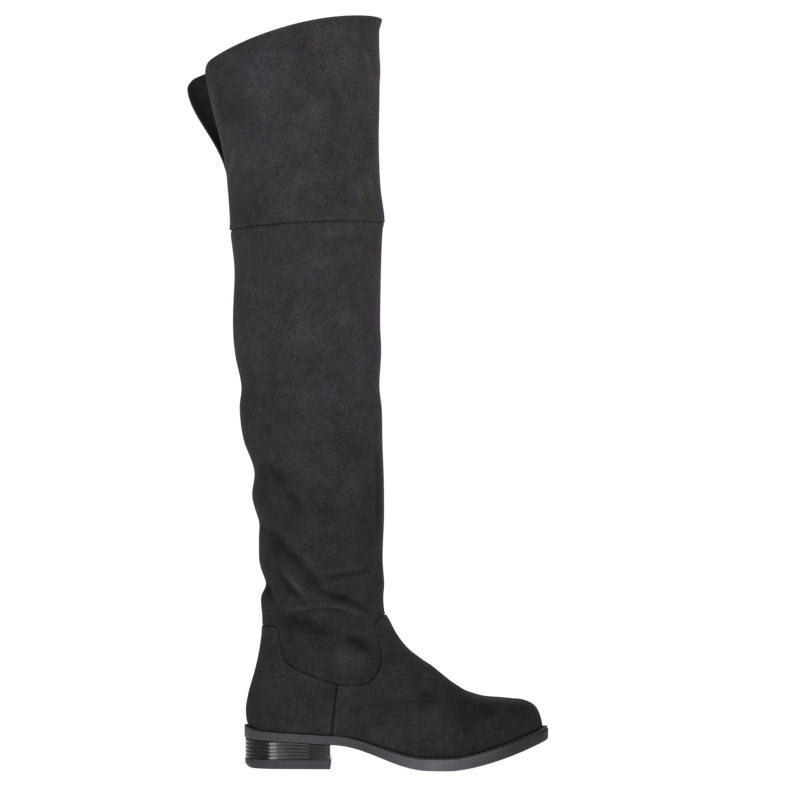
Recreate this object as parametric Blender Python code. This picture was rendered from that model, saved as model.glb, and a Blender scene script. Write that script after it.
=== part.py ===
"""A right-foot over-the-knee boot in soft suede, standing empty on its sole.

Metres, +Z up, toe towards +X, outer side of the foot towards -Y. The origin is on
the floor, in the middle of the heel's ground face. Inside the functions x runs from
the back of the sole, and one empty carries every piece to its place.
"""

import math

import bmesh
import bpy
from mathutils import Vector

# Sole, seen from above
SOLE_LENGTH = 0.270
BALL_WIDTH = 0.096
TOE_SWING = 0.007
HEEL_ROUND = 0.030
TOE_ROUND = 0.058
ROUNDING = 2.2
HEEL_MARGIN = 0.0018
HEEL_BACK_MARGIN = 0.0043
WELT_MARGIN = 0.0045

# Sole, seen from the side
HEEL_LENGTH = 0.0785
HEEL_RISE = 0.0212
SEAT_PITCH = 0.0045
TREAD_START = 0.166
TREAD_END = 0.184
TOE_SPRING = 0.0246
SPRING_POWER = 1.5
WAIST_THICKNESS = 0.0083
BALL_THICKNESS = 0.0102
TOE_THICKNESS = 0.0112
SOLE_EDGE = 0.0010
TREAD_EDGE = 0.0017
HEEL_LIP = 0.0034
HEEL_LIP_LENGTH = 0.022

# Heel
LIFT_THICKNESS = 0.0080
LIFT_BEVEL = 0.0038
LIFT_BEVEL_LENGTH = 0.009
HEEL_INSET = 0.0006
STACK_LAYERS = 5
STACK_GROOVE = 0.0004

# Welt and insole
WELT_HEIGHT = 0.0017
WELT_CLEARANCE = 0.0026
WELT_EDGE = 0.0006
WELT_START = 0.46
INSOLE_INSET = 0.0040
INSOLE_THICKNESS = 0.0025

# Upper and leg
BOOT_HEIGHT = 0.6640
INSTEP_HEIGHT = 0.140
LEG_AXIS = 0.0558
KNEE_DEPTH = 0.1365
KNEE_WIDTH = 0.112
WALL = 0.0014
GAP = 0.0003
LAP = 0.008
SHAFT_INSET = 0.0006
SHAFT_LINING = 0.0027
LAP_EDGE = 0.0009
VAMP_STEP = 0.0006
VAMP_FADE = 0.050
FEATHER_BULGE = 1.035
KNEE_SEAM_HEIGHT = 0.4830
KNEE_SEAM_DROP = 0.0066

# Collar, and the split down the back of the cuff
COLLAR_DROP = 0.042
COLLAR_POWER = 1.8
COLLAR_ROLL = 0.0025
ROLL_DEPTH = 0.011
SLIT_OVER_SEAM = 0.039
SLIT_TURN = 0.85
SLIT_POWER = 0.8
CORNER_ROUND = 0.008
INNER_LEAN = 0.235
OUTER_LEAN = 0.025

# Mesh fineness
COLUMN_STEP_COUNT = 14
END_COLUMNS = (0.2, 0.55)
UPPER_HEEL_ROW_COUNT = 5
UPPER_TOE_ROW_COUNT = 24
ROW_SPACING = 0.010
SHAFT_ROW_COUNT = 17
FLAP_ROW_COUNT = 6
CUFF_ROW_COUNT = 2
SOLE_STEP_COUNT = 36
WELT_STEP_COUNT = 26
HEEL_STEP_COUNT = 12

# Half-widths of the sole on the outer and inner side, as shares of BALL_WIDTH,
# along the sole's length from back to toe.
OUTLINE_COLUMNS = ("along", "outer", "inner")
OUTLINE = (
    (0.00, 0.305, 0.310),
    (0.14, 0.318, 0.325),
    (0.28, 0.322, 0.298),
    (0.42, 0.352, 0.262),
    (0.54, 0.425, 0.345),
    (0.64, 0.488, 0.452),
    (0.73, 0.492, 0.508),
    (0.82, 0.450, 0.492),
    (0.91, 0.385, 0.430),
    (1.00, 0.300, 0.340),
)

# Level sections of the leg from the collar down, one for each bulge or crease of its
# outline. Height is a share of BOOT_HEIGHT, back and front are shares of KNEE_DEPTH
# from the leg's axis, and half is the half-width as a share of KNEE_WIDTH.
LEG_COLUMNS = ("height", "back", "front", "half")
LEG = (
    (1.006, -0.685, 0.470, 0.560),
    (0.969, -0.673, 0.470, 0.562),
    (0.932, -0.658, 0.470, 0.560),
    (0.889, -0.619, 0.468, 0.552),
    (0.836, -0.560, 0.463, 0.536),
    (0.782, -0.521, 0.473, 0.518),
    (0.734, -0.500, 0.506, 0.505),
    (0.713, -0.498, 0.499, 0.500),
    (0.665, -0.474, 0.491, 0.494),
    (0.598, -0.488, 0.482, 0.490),
    (0.553, -0.471, 0.486, 0.484),
    (0.510, -0.431, 0.475, 0.474),
    (0.478, -0.444, 0.491, 0.464),
    (0.436, -0.419, 0.493, 0.450),
    (0.396, -0.350, 0.499, 0.428),
    (0.361, -0.364, 0.503, 0.408),
    (0.324, -0.321, 0.502, 0.388),
    (0.275, -0.315, 0.495, 0.364),
    (0.245, -0.274, 0.505, 0.350),
    (0.226, -0.305, 0.501, 0.342),
)

# Tilted sections from the ankle down the back of the heel. The low end is on the
# heel, the top end on the instep. Lengths along are shares of SOLE_LENGTH, heights
# of INSTEP_HEIGHT and half-widths of BALL_WIDTH. The last column squares the low end.
HEEL_COLUMNS = ("low", "low_height", "top", "top_height", "half", "squareness")
HEEL = (
    (0.056, 0.948, 0.465, 0.980, 0.384, 2.20),
    (0.056, 0.853, 0.480, 0.923, 0.372, 2.30),
    (0.049, 0.745, 0.503, 0.840, 0.360, 2.45),
    (0.035, 0.618, 0.539, 0.752, 0.354, 2.60),
    (0.013, 0.466, 0.585, 0.682, 0.352, 2.80),
    (0.005, 0.352, 0.617, 0.641, 0.352, 2.95),
)

# Sections of the foot that stand on the sole, from the back of the heel to the toe.
# The low end lies on the feather line; rise is the top end's height over the sole, as
# a share of INSTEP_HEIGHT. Squareness is that of the low and the top half.
FOOT_COLUMNS = ("low", "top", "rise", "half", "squareness", "crown")
FOOT = (
    (0.016, 0.648, 0.518, 0.355, 3.00, 2.05),
    (0.059, 0.674, 0.477, 0.362, 3.00, 2.05),
    (0.135, 0.701, 0.438, 0.372, 2.90, 2.10),
    (0.234, 0.725, 0.403, 0.384, 2.70, 2.15),
    (0.349, 0.753, 0.372, 0.398, 2.50, 2.20),
    (0.470, 0.783, 0.343, 0.412, 2.40, 2.25),
    (0.579, 0.816, 0.318, 0.420, 2.35, 2.30),
    (0.678, 0.849, 0.293, 0.400, 2.30, 2.35),
    (0.766, 0.880, 0.266, 0.300, 2.30, 2.35),
    (0.842, 0.909, 0.241, 0.100, 2.30, 2.35),
    (0.901, 0.938, 0.202, 0.000, 2.30, 2.30),
    (0.944, 0.960, 0.152, 0.000, 2.30, 2.30),
    (0.970, 0.974, 0.086, 0.000, 2.30, 2.30),
    (0.983, 0.983, 0.000, 0.000, 2.30, 2.30),
)

# The shaft's lower edge in the side view, from the back over the bowl to the front:
# shares of SOLE_LENGTH and of INSTEP_HEIGHT.
ANKLE_SEAM_COLUMNS = ("along", "height")
ANKLE_SEAM = (
    (0.000, 0.893),
    (0.060, 0.893),
    (0.096, 0.895),
    (0.113, 0.880),
    (0.121, 0.814),
    (0.134, 0.706),
    (0.166, 0.640),
    (0.232, 0.587),
    (0.306, 0.536),
    (0.345, 0.528),
    (0.383, 0.530),
    (0.418, 0.549),
    (0.445, 0.602),
    (0.457, 0.667),
    (0.458, 0.733),
    (0.451, 0.800),
    (0.438, 0.888),
    (0.442, 0.922),
    (0.454, 0.948),
    (0.480, 0.975),
    (0.520, 0.990),
)

# Where the vamp laps over the counter: a straight seam down each side, from the
# shaft's edge to the sole, in the same shares.
SIDE_SEAM_TOP = (0.314, 0.529)
SIDE_SEAM_FOOT = (0.297, 0.230)


def hermite(left, right, slope_left, slope_right, t):
    """Cubic between two values with the given slopes, for t from 0 to 1."""
    return (
        left * (1 + 2 * t) * (1 - t) ** 2
        + slope_left * t * (1 - t) ** 2
        + right * t * t * (3 - 2 * t)
        + slope_right * t * t * (t - 1)
    )


def along_rows(rows, station):
    """Every column of the rows, smoothed, at a place counted in rows."""
    last = len(rows) - 1
    k = min(max(int(station), 0), last - 1)
    before, left, right, after = (rows[min(max(k + i, 0), last)] for i in (-1, 0, 1, 2))
    return [
        hermite(b, c, (c - a) / 2, (d - b) / 2, station - k)
        for a, b, c, d in zip(before, left, right, after)
    ]


def by_key(rows, key):
    """The columns after the first, smoothed, where the first column equals key."""
    k = max((i for i in range(len(rows) - 1) if rows[i][0] <= key), default=0)
    span = rows[k + 1][0] - rows[k][0]
    return along_rows(rows, k + min(max((key - rows[k][0]) / span, 0.0), 1.0))[1:]


def smooth_step(t):
    t = min(max(t, 0.0), 1.0)
    return t * t * (3 - 2 * t)


def rounding(t):
    """Rises from 0 to 1 like the rounded end of an outline."""
    return (1 - (1 - min(max(t, 0.0), 1.0)) ** ROUNDING) ** (1 / ROUNDING)


def sole_centre(x):
    """The sole's middle line swings inwards towards the toe."""
    return TOE_SWING * (max(x, 0.0) / SOLE_LENGTH) ** 2


def outline_share(x, side):
    outer, inner = by_key(OUTLINE, min(max(x / SOLE_LENGTH, 0.0), 1.0))
    return outer if side < 0 else inner


def sole_half(x, side, inset=0.0):
    """Half-width of the sole on one side (-1 outer, +1 inner), drawn in by inset."""
    body = BALL_WIDTH * outline_share(x, side) - inset
    from_back = (x - inset) / HEEL_ROUND
    return body * rounding(from_back) * rounding((SOLE_LENGTH - inset - x) / TOE_ROUND)


FEATHER_BACK = HEEL_BACK_MARGIN
FEATHER_TOE = SOLE_LENGTH - WELT_MARGIN


def margin(x):
    """How far the sole stands out sideways: little at the heel, a welt's width ahead."""
    share = smooth_step((x - HEEL_LENGTH) / (TREAD_START - HEEL_LENGTH))
    return HEEL_MARGIN + (WELT_MARGIN - HEEL_MARGIN) * share


def feather_half(x, side, inset=0.0):
    """Half-width of the line where the upper meets the sole."""
    body = BALL_WIDTH * outline_share(x, side) - margin(x) - inset
    from_back = (x - FEATHER_BACK - inset) / HEEL_ROUND
    return body * rounding(from_back) * rounding((FEATHER_TOE - inset - x) / TOE_ROUND)


def sole_bottom(x):
    """Underside of the sole: heel seat, waist, flat tread and toe spring."""
    x = min(max(x, 0.0), SOLE_LENGTH)
    if x < HEEL_LENGTH:
        return HEEL_RISE + SEAT_PITCH * (1 - x / HEEL_LENGTH)
    if x < TREAD_END:
        waist = (x - HEEL_LENGTH) / (TREAD_START - HEEL_LENGTH)
        return HEEL_RISE * (1 + math.cos(math.pi * min(waist, 1.0))) / 2
    return TOE_SPRING * ((x - TREAD_END) / (SOLE_LENGTH - TREAD_END)) ** SPRING_POWER


def sole_top(x):
    """Upper face of the sole, which the upper stands on."""
    to_ball = smooth_step((x - HEEL_LENGTH) / (TREAD_END - HEEL_LENGTH))
    to_toe = smooth_step((x - TREAD_END) / (SOLE_LENGTH - TREAD_END))
    swell = (BALL_THICKNESS - WAIST_THICKNESS) * to_ball
    swell += (TOE_THICKNESS - BALL_THICKNESS) * to_toe
    lip = HEEL_LIP * max(1 - max(x, 0.0) / HEEL_LIP_LENGTH, 0.0) ** 2
    return sole_bottom(x) + WAIST_THICKNESS + swell + lip


def leg_section(row):
    height, back, front, half = row
    z, reach = height * BOOT_HEIGHT, half * KNEE_WIDTH
    low_x, top_x = LEG_AXIS + back * KNEE_DEPTH, LEG_AXIS + front * KNEE_DEPTH
    return (low_x, z, top_x, z, reach, reach, 2.2, 2.1)


def heel_section(row):
    low, low_height, top, top_height, half, squareness = row
    low_x, low_z = low * SOLE_LENGTH, low_height * INSTEP_HEIGHT
    top_x, top_z = top * SOLE_LENGTH, top_height * INSTEP_HEIGHT
    reach = half * BALL_WIDTH
    return (low_x, low_z, top_x, top_z, reach, reach, squareness, 2.05)


def widest(half, feather):
    """The wider of a section's own half-width and its bulge over the feather line."""
    return (half**8 + (FEATHER_BULGE * feather) ** 8) ** (1 / 8)


def foot_section(row):
    low, top, rise, half, squareness, crown = row
    low_x = min(max(low * SOLE_LENGTH, FEATHER_BACK), FEATHER_TOE)
    top_x = min(top * SOLE_LENGTH, FEATHER_TOE)
    top_z = sole_top(top_x) + GAP + rise * INSTEP_HEIGHT
    outer = widest(half * BALL_WIDTH, feather_half(low_x, -1))
    inner = widest(half * BALL_WIDTH, feather_half(low_x, 1))
    return (low_x, sole_top(low_x) + GAP, top_x, top_z, outer, inner, squareness, crown)


SECTIONS = (
    [leg_section(row) for row in LEG]
    + [heel_section(row) for row in HEEL]
    + [foot_section(row) for row in FOOT]
)
HEEL_START = len(LEG)
FOOT_START = len(LEG) + len(HEEL)
TOE_END = len(SECTIONS) - 1


SLIT_HEIGHT = KNEE_SEAM_HEIGHT + SLIT_OVER_SEAM
SLIT_LENGTH = BOOT_HEIGHT - COLLAR_DROP - SLIT_HEIGHT


def slit_share(z):
    """0 at the foot of the split, about 1 at the collar."""
    return max((z - SLIT_HEIGHT) / SLIT_LENGTH, 0.0)


def turn_at(column, station):
    """Where a column stands on the section: the columns draw aside for the split."""
    if station >= HEEL_START:
        return column
    share = slit_share(along_rows(SECTIONS, station)[1]) ** SLIT_POWER
    slit = SLIT_TURN * SLIT_LENGTH * share
    return slit + (1 - slit) * column


def flap_flare(x, z, low_x, side):
    """How far a flap of the split leans back, most at its own edge."""
    reach = 1 - smooth_step((x - low_x) / (0.45 * KNEE_DEPTH))
    lean = INNER_LEAN if side > 0 else OUTER_LEAN
    return lean * SLIT_LENGTH * smooth_step(slit_share(z) / 0.8) * reach


def collar_roll(x, z, low_x, top_x):
    """The collar's edge rolls forward a little at the front."""
    drop = max(collar_height(x, low_x, top_x) - z, 0.0)
    front = smooth_step((x - low_x) / (top_x - low_x) * 4 - 3)
    return COLLAR_ROLL * (1 - smooth_step(drop / ROLL_DEPTH)) * front


def foot_share(z):
    """The toe's inward swing fades out up the ankle."""
    return 1 - smooth_step((z / INSTEP_HEIGHT - 0.5) / 0.5)


def forward(angle, squareness, crown):
    """Share of the section's chord passed at an angle round it."""
    power = 2 / (squareness if angle < math.pi / 2 else crown)
    return (1 - math.copysign(abs(math.cos(angle)) ** power, math.cos(angle))) / 2


def skin(column, station):
    """A point of the boot's outer form. A column goes 0 to 1 from the low end of the
    section over the outer side to its top, and 1 to 2 back over the inner side."""
    row = along_rows(SECTIONS, station)
    low_x, low_z, top_x, top_z, outer, inner, squareness, crown = row
    turn = turn_at(column, station)
    side = -1 if turn <= 1 else 1
    share = turn if turn <= 1 else 2 - turn
    reach = outer if side < 0 else inner
    start = 0.0
    if station > FOOT_START:
        low_x = min(max(low_x, FEATHER_BACK), FEATHER_TOE)
        low_z = sole_top(low_x) + GAP
        stand = feather_half(low_x, side)
        reach = max(reach, 1.01 * stand, 1e-7)
        start = math.asin((stand / reach) ** (squareness / 2))
    angle = start + (math.pi - start) * share
    cut = forward(start, squareness, crown)
    along = (forward(angle, squareness, crown) - cut) / (1 - cut)
    x = low_x + (top_x - low_x) * along
    z = low_z + (top_z - low_z) * along
    power = 2 / (squareness if angle < math.pi / 2 else crown)
    y = side * reach * abs(math.sin(angle)) ** power
    if station < HEEL_START:
        x += collar_roll(x, z, low_x, top_x) - flap_flare(x, z, low_x, side)
    return Vector((x, sole_centre(x) * foot_share(z) + y, z))


def outward(column, station):
    """Unit normal of the outer form, from its own slopes."""
    step = 1e-3
    up, down = max(station - step, 0.0), min(station + step, TOE_END)
    fall = skin(column, down) - skin(column, up)
    left, right = column - step, column + step
    if station > FOOT_START or turn_at(0.0, station) > 0:
        left, right = max(left, 0.0), min(right, 2.0)
    across = skin(right % 2 if right > 2 else right, station) - skin(left % 2, station)
    return fall.cross(across).normalized()


def layer(column, station, depth):
    """A point of the form drawn in by depth. A foot edge moves level, along the sole."""
    if station >= TOE_END:
        return skin(1.0, TOE_END) - Vector((depth, 0.0, 0.0))
    direction = outward(column, station)
    if station >= FOOT_START and column in (0.0, 2.0):
        direction.z = 0.0
        direction.normalize()
    return skin(column, station) - direction * depth


def collar_height(x, low_x, top_x):
    """The collar is high at the front and falls away towards the back."""
    share = max((top_x - x) / (top_x - low_x), 0.0)
    return BOOT_HEIGHT - COLLAR_DROP * share**COLLAR_POWER


def above_collar(column, station):
    """Above the collar line, whose ends are rounded off at the split."""
    row, point = along_rows(SECTIONS, station), skin(column, station)
    end = skin(0.0 if column <= 1 else 2.0, station)
    from_edge = abs(point.x - end.x)
    missing = max(CORNER_ROUND - from_edge, 0.0)
    corner = CORNER_ROUND - math.sqrt(CORNER_ROUND**2 - missing**2)
    return point.z > collar_height(point.x, row[0], row[2]) - corner


def above_knee_seam(column, station):
    row, point = along_rows(SECTIONS, station), skin(column, station)
    share = min(max((row[2] - point.x) / (row[2] - row[0]), 0.0), 1.0)
    return point.z > KNEE_SEAM_HEIGHT - KNEE_SEAM_DROP * share**2


def ankle_line():
    """The shaft's lower edge as points x, z, drawn on level far behind and ahead."""
    rows = [along_rows(ANKLE_SEAM, i / 8) for i in range(8 * len(ANKLE_SEAM) - 7)]
    rows = [[-1.0, rows[0][1]], *rows, [2.0, rows[-1][1]]]
    return [(along * SOLE_LENGTH, height * INSTEP_HEIGHT) for along, height in rows]


ANKLE_LINE = ankle_line()


def above_ankle_seam(column, station):
    """On the shaft's side of its lower edge, in the side view."""
    point = skin(column, station)
    below = 0
    for (x0, z0), (x1, z1) in zip(ANKLE_LINE, ANKLE_LINE[1:]):
        if (x0 <= point.x) != (x1 <= point.x):
            below += z0 + (z1 - z0) * (point.x - x0) / (x1 - x0) < point.z
    return below % 2 == 1


def crossing(column, above):
    """The station where a column going down the boot first leaves the upper side."""
    high = 0.0
    while above(column, high):
        high += 0.125
    low = high - 0.125
    for _ in range(18):
        middle = (low + high) / 2
        if above(column, middle):
            low = middle
        else:
            high = middle
    return (low + high) / 2


def further(column, station, distance):
    """The station a distance further down the column, or up where it is negative."""
    step = 0.02
    speed = (skin(column, station + step) - skin(column, station)).length / step
    return station + distance / speed


def columns():
    """Even columns round the boot, with some extra beside its back and its feather."""
    shares = [0.0, *END_COLUMNS, *range(1, COLUMN_STEP_COUNT)]
    half = [share / COLUMN_STEP_COUNT for share in shares]
    return half + [1.0] + [2 - share for share in reversed(half)]


def new_object(name, bm, made_of):
    bmesh.ops.recalc_face_normals(bm, faces=bm.faces)
    mesh = bpy.data.meshes.new(name)
    bm.to_mesh(mesh)
    bm.free()
    mesh.shade_smooth()
    mesh.set_sharp_from_angle(angle=math.radians(40))
    mesh.materials.append(made_of)
    obj = bpy.data.objects.new(name, mesh)
    bpy.context.scene.collection.objects.link(obj)
    obj.parent = bpy.data.objects["boot"]
    return obj


def material(name, colour, roughness):
    made = bpy.data.materials.new(name)
    made.use_nodes = True
    shader = made.node_tree.nodes["Principled BSDF"]
    shader.inputs["Base Color"].default_value = (*colour, 1.0)
    shader.inputs["Roughness"].default_value = roughness
    return made


def face(bm, *corners):
    distinct = list(dict.fromkeys(corners))
    if len(distinct) > 2:
        bm.faces.new(distinct)


def sheet(bm, rows, depths):
    """A grid of corners at given depths in the form. Rows hold stations, one to each
    column. Where a row's ends meet they share a corner, and the toe is one corner."""
    made = []
    for stations, depth in zip(rows, depths):
        points = [layer(c, s, depth) for c, s in zip(columns(), stations)]
        if stations[0] >= TOE_END:
            made.append([bm.verts.new(points[0])] * len(points))
            continue
        corners = [bm.verts.new(point) for point in points[:-1]]
        whole = (points[0] - points[-1]).length < 1e-6
        made.append(corners + [corners[0] if whole else bm.verts.new(points[-1])])
    return made


def wall(bm, rows, outer_depths, inner_depths):
    """One hollow wall between two like sheets. Returns its outer corners."""
    front, back = sheet(bm, rows, outer_depths), sheet(bm, rows, inner_depths)
    for grid in (front, back):
        for upper, lower in zip(grid, grid[1:]):
            for j in range(len(upper) - 1):
                face(bm, upper[j], upper[j + 1], lower[j + 1], lower[j])
    for i in (0, -1):
        for j in range(len(front[i]) - 1):
            if front[i][j] is not front[i][j + 1]:
                face(bm, front[i][j], front[i][j + 1], back[i][j + 1], back[i][j])
    for i in range(len(front) - 1):
        if front[i][0] is front[i][-1] and front[i + 1][0] is front[i + 1][-1]:
            continue
        for j in (0, -1):
            face(bm, front[i][j], front[i + 1][j], back[i + 1][j], back[i][j])
    return {corner for row in front for corner in row}


def lap_rows(seam, distances):
    """Rows that follow a seam at set distances below it."""
    return [[further(c, s, d) for c, s in zip(columns(), seam)] for d in distances]


def rows_between(first, last, count):
    """Evenly shared rows strictly between two rows."""
    shares = [(i + 1) / (count + 1) for i in range(count)]
    return [[a + (b - a) * t for a, b in zip(first, last)] for t in shares]


def level_row(station):
    return [station] * len(columns())


def ankle_seam():
    return [crossing(c, above_ankle_seam) for c in columns()]


def knee_seam():
    return [crossing(c, above_knee_seam) for c in columns()]


def foot_stations():
    """Stations from the heel to the toe, shared out by table rows and by length."""
    fine = [FOOT_START + (TOE_END - FOOT_START) * i / 400 for i in range(401)]
    passed = [
        station - FOOT_START + along_rows(SECTIONS, station)[0] / ROW_SPACING
        for station in fine
    ]
    stations = []
    for i in range(1, UPPER_TOE_ROW_COUNT):
        wanted = passed[0] + (passed[-1] - passed[0]) * i / UPPER_TOE_ROW_COUNT
        stations.append(next(s for s, p in zip(fine, passed) if p >= wanted))
    return [*stations, TOE_END]


def build_upper(suede):
    """Vamp and counter, lasted as one wall from the ankle seam to the feather line."""
    seam = ankle_seam()
    lap = lap_rows(seam, (LAP / 2, LAP))
    heel = level_row(FOOT_START)
    rows = [seam, *lap, *rows_between(lap[-1], heel, UPPER_HEEL_ROW_COUNT), heel]
    rows += [level_row(station) for station in foot_stations()]
    bm = bmesh.new()
    side = bm.verts.layers.float.new("outer")
    outer = wall(bm, rows, [0.0] * len(rows), [WALL] * len(rows))
    for corner in bm.verts:
        corner[side] = float(corner in outer)
    lap_vamp(bm, side)
    return new_object("upper", bm, suede)


def lap_vamp(bm, side):
    """Raises the outer face ahead of the side seams, so the vamp lies on the counter."""
    top = Vector((SIDE_SEAM_TOP[0] * SOLE_LENGTH, 0, SIDE_SEAM_TOP[1] * INSTEP_HEIGHT))
    foot = Vector((SIDE_SEAM_FOOT[0] * SOLE_LENGTH, 0, SIDE_SEAM_FOOT[1] * INSTEP_HEIGHT))
    ahead = Vector((top.z - foot.z, 0, foot.x - top.x)).normalized()
    for shift in (0.0, GAP):
        parts = [*bm.verts, *bm.edges, *bm.faces]
        place = top + ahead * shift
        bmesh.ops.bisect_plane(bm, geom=parts, plane_co=place, plane_no=ahead, dist=1e-6)
    bmesh.ops.recalc_face_normals(bm, faces=bm.faces)
    moves = []
    for corner in bm.verts:
        distance = (corner.co - top).dot(ahead)
        if corner[side] < 0.5 or distance < GAP / 2:
            continue
        faces = [f for f in corner.link_faces if all(v[side] > 0.5 for v in f.verts)]
        lift = sum((f.normal for f in faces), Vector())
        if any(v[side] < 0.5 for f in corner.link_faces for v in f.verts):
            lift.z = 0.0
        moves.append((corner, lift.normalized() * (1 - smooth_step(distance / VAMP_FADE))))
    for corner, lift in moves:
        corner.co += lift * VAMP_STEP


def build_shaft(suede):
    """The leg, whose two ends step inwards to lie under the cuff and the upper."""
    knee, ankle = knee_seam(), ankle_seam()
    top = lap_rows(knee, (-LAP, -LAP / 2, LAP_EDGE - GAP, 2 * LAP_EDGE - GAP))
    foot = lap_rows(ankle, (GAP - 2 * LAP_EDGE, GAP - LAP_EDGE, LAP / 2, LAP))
    rows = [*top, *rows_between(top[-1], foot[0], SHAFT_ROW_COUNT), *foot]
    under = WALL + GAP
    open_rows = len(rows) - 6
    depths = [under] * 3 + [SHAFT_INSET] * open_rows + [under] * 3
    bm = bmesh.new()
    wall(bm, rows, depths, [SHAFT_LINING] * len(rows))
    return new_object("shaft", bm, suede)


def build_cuff(suede):
    """The panel over the knee, split down the back above the slit's foot."""
    collar = [crossing(c, above_collar) for c in columns()]
    foot = crossing(1.0, lambda c, s: skin(c, s).z > SLIT_HEIGHT)
    knee = knee_seam()
    lap = lap_rows(knee, (-LAP, -LAP / 2))
    slit = level_row(foot)
    rows = [collar, *rows_between(collar, slit, FLAP_ROW_COUNT), slit]
    rows += [*rows_between(slit, lap[0], CUFF_ROW_COUNT), *lap, knee]
    bm = bmesh.new()
    wall(bm, rows, [0.0] * len(rows), [WALL] * len(rows))
    return new_object("thigh_cuff", bm, suede)


def spread(start, end, steps, marks=()):
    """Places from start to end, closest at both ends, with the given marks among them."""
    even = [(1 - math.cos(math.pi * i / steps)) / 2 for i in range(steps + 1)]
    return sorted({*(start + (end - start) * share for share in even), *marks})


def ring(bm, places, half, inset, height):
    """Corners along the outer and the inner side of an outline, at a height set by x."""
    sides = []
    for side in (-1, 1):
        row = []
        for k, x in enumerate(places):
            reach = half(x, side, inset)
            if side > 0 and reach < 1e-6:
                row.append(sides[0][k])
                continue
            y = sole_centre(x) + side * reach
            row.append(bm.verts.new((x, y, height(x))))
        sides.append(row)
    return sides


def stack(bm, rings):
    """Joins rings into one closed body."""
    for low, high in zip(rings, rings[1:]):
        for side in (0, 1):
            for k in range(len(low[side]) - 1):
                a, b = low[side], high[side]
                face(bm, a[k], a[k + 1], b[k + 1], b[k])
        for k in (0, -1):
            if low[0][k] is not low[1][k]:
                face(bm, low[0][k], low[1][k], high[1][k], high[0][k])
    for outer, inner in (rings[0], rings[-1]):
        for k in range(len(outer) - 1):
            face(bm, outer[k], outer[k + 1], inner[k + 1], inner[k])


def build_outsole(rubber):
    bm = bmesh.new()
    marks = (HEEL_LENGTH, TREAD_START, TREAD_END)
    levels = ((TREAD_EDGE, 0, 0), (0, 0, TREAD_EDGE), (0, 1, -SOLE_EDGE), (SOLE_EDGE, 1, 0))
    rings = []
    for inset, share, shift in levels:
        places = spread(inset, SOLE_LENGTH - inset, SOLE_STEP_COUNT, marks)

        def height(x, share=share, shift=shift):
            return sole_bottom(x) * (1 - share) + sole_top(x) * share + shift

        rings.append(ring(bm, places, sole_half, inset, height))
    stack(bm, rings)
    return new_object("outsole", bm, rubber)


def build_insole(board):
    bm = bmesh.new()
    start, end = FEATHER_BACK + INSOLE_INSET, FEATHER_TOE - INSOLE_INSET
    places = spread(start, end, SOLE_STEP_COUNT)
    rings = []
    for rise in (GAP, GAP + INSOLE_THICKNESS):

        def height(x, rise=rise):
            return sole_top(x) + rise

        rings.append(ring(bm, places, feather_half, INSOLE_INSET, height))
    stack(bm, rings)
    return new_object("insole", bm, board)


def heel_half(x, side, inset):
    return sole_half(x, side, HEEL_INSET + inset)


def heel_ring(bm, inset, height):
    places = spread(HEEL_INSET + inset, HEEL_LENGTH - inset, HEEL_STEP_COUNT)
    return ring(bm, places, heel_half, inset, height)


def build_heel_block(stacked):
    """Stacked layers between the lift and the heel seat, with a fine groove at each."""
    bm = bmesh.new()
    levels = [(0.0, STACK_GROOVE)]
    for k in range(STACK_LAYERS):
        levels += [((k + 0.14) / STACK_LAYERS, 0.0), ((k + 0.86) / STACK_LAYERS, 0.0)]
        levels.append(((k + 1) / STACK_LAYERS, STACK_GROOVE))
    rings = []
    for share, inset in levels:

        def height(x, share=share):
            bottom = LIFT_THICKNESS + GAP
            return bottom + (sole_bottom(x) - GAP - bottom) * share

        rings.append(heel_ring(bm, inset, height))
    stack(bm, rings)
    return new_object("heel_block", bm, stacked)


def build_heel_lift(rubber):
    """The rubber top piece, bevelled at the back and flat on the floor ahead of that."""
    bm = bmesh.new()

    def ground(x):
        return LIFT_BEVEL * max(1 - (x - HEEL_INSET) / LIFT_BEVEL_LENGTH, 0.0) ** 2

    edge = SOLE_EDGE / 2
    rings = [
        heel_ring(bm, edge, ground),
        heel_ring(bm, 0.0, lambda x: ground(x) + edge),
        heel_ring(bm, 0.0, lambda x: LIFT_THICKNESS - edge),
        heel_ring(bm, edge, lambda x: LIFT_THICKNESS),
    ]
    stack(bm, rings)
    return new_object("heel_lift", bm, rubber)


def welt_loop(bm, half, end, inset, rise):
    """One edge of the welt, from the waist round the toe and back to the waist."""
    start = WELT_START * SOLE_LENGTH
    places = spread(2 * start - end + inset, end - inset, 2 * WELT_STEP_COUNT)
    places = [start] + [x for x in places if x > start + 0.002]
    loop = []
    for side in (-1, 1):
        row = []
        for x in places if side < 0 else places[-2::-1]:
            y = sole_centre(x) + side * half(x, side, inset)
            row.append(bm.verts.new((x, y, sole_top(x) + GAP + rise)))
        loop += row
    return loop


def build_welt(rubber):
    """The strip round the forefoot between the sole's edge and the upper."""
    bm = bmesh.new()
    corners = []
    for rise in (0.0, WELT_HEIGHT):
        inner = welt_loop(bm, feather_half, FEATHER_TOE, -WELT_CLEARANCE, rise)
        outer = welt_loop(bm, sole_half, SOLE_LENGTH, WELT_EDGE, rise)
        corners += [inner, outer]
    inner_low, outer_low, inner_high, outer_high = corners
    section = (inner_low, outer_low, outer_high, inner_high)
    for a, b in zip(section, section[1:] + section[:1]):
        for k in range(len(a) - 1):
            face(bm, a[k], a[k + 1], b[k + 1], b[k])
    for k in (0, -1):
        face(bm, *(loop[k] for loop in section))
    return new_object("welt", bm, rubber)


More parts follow.
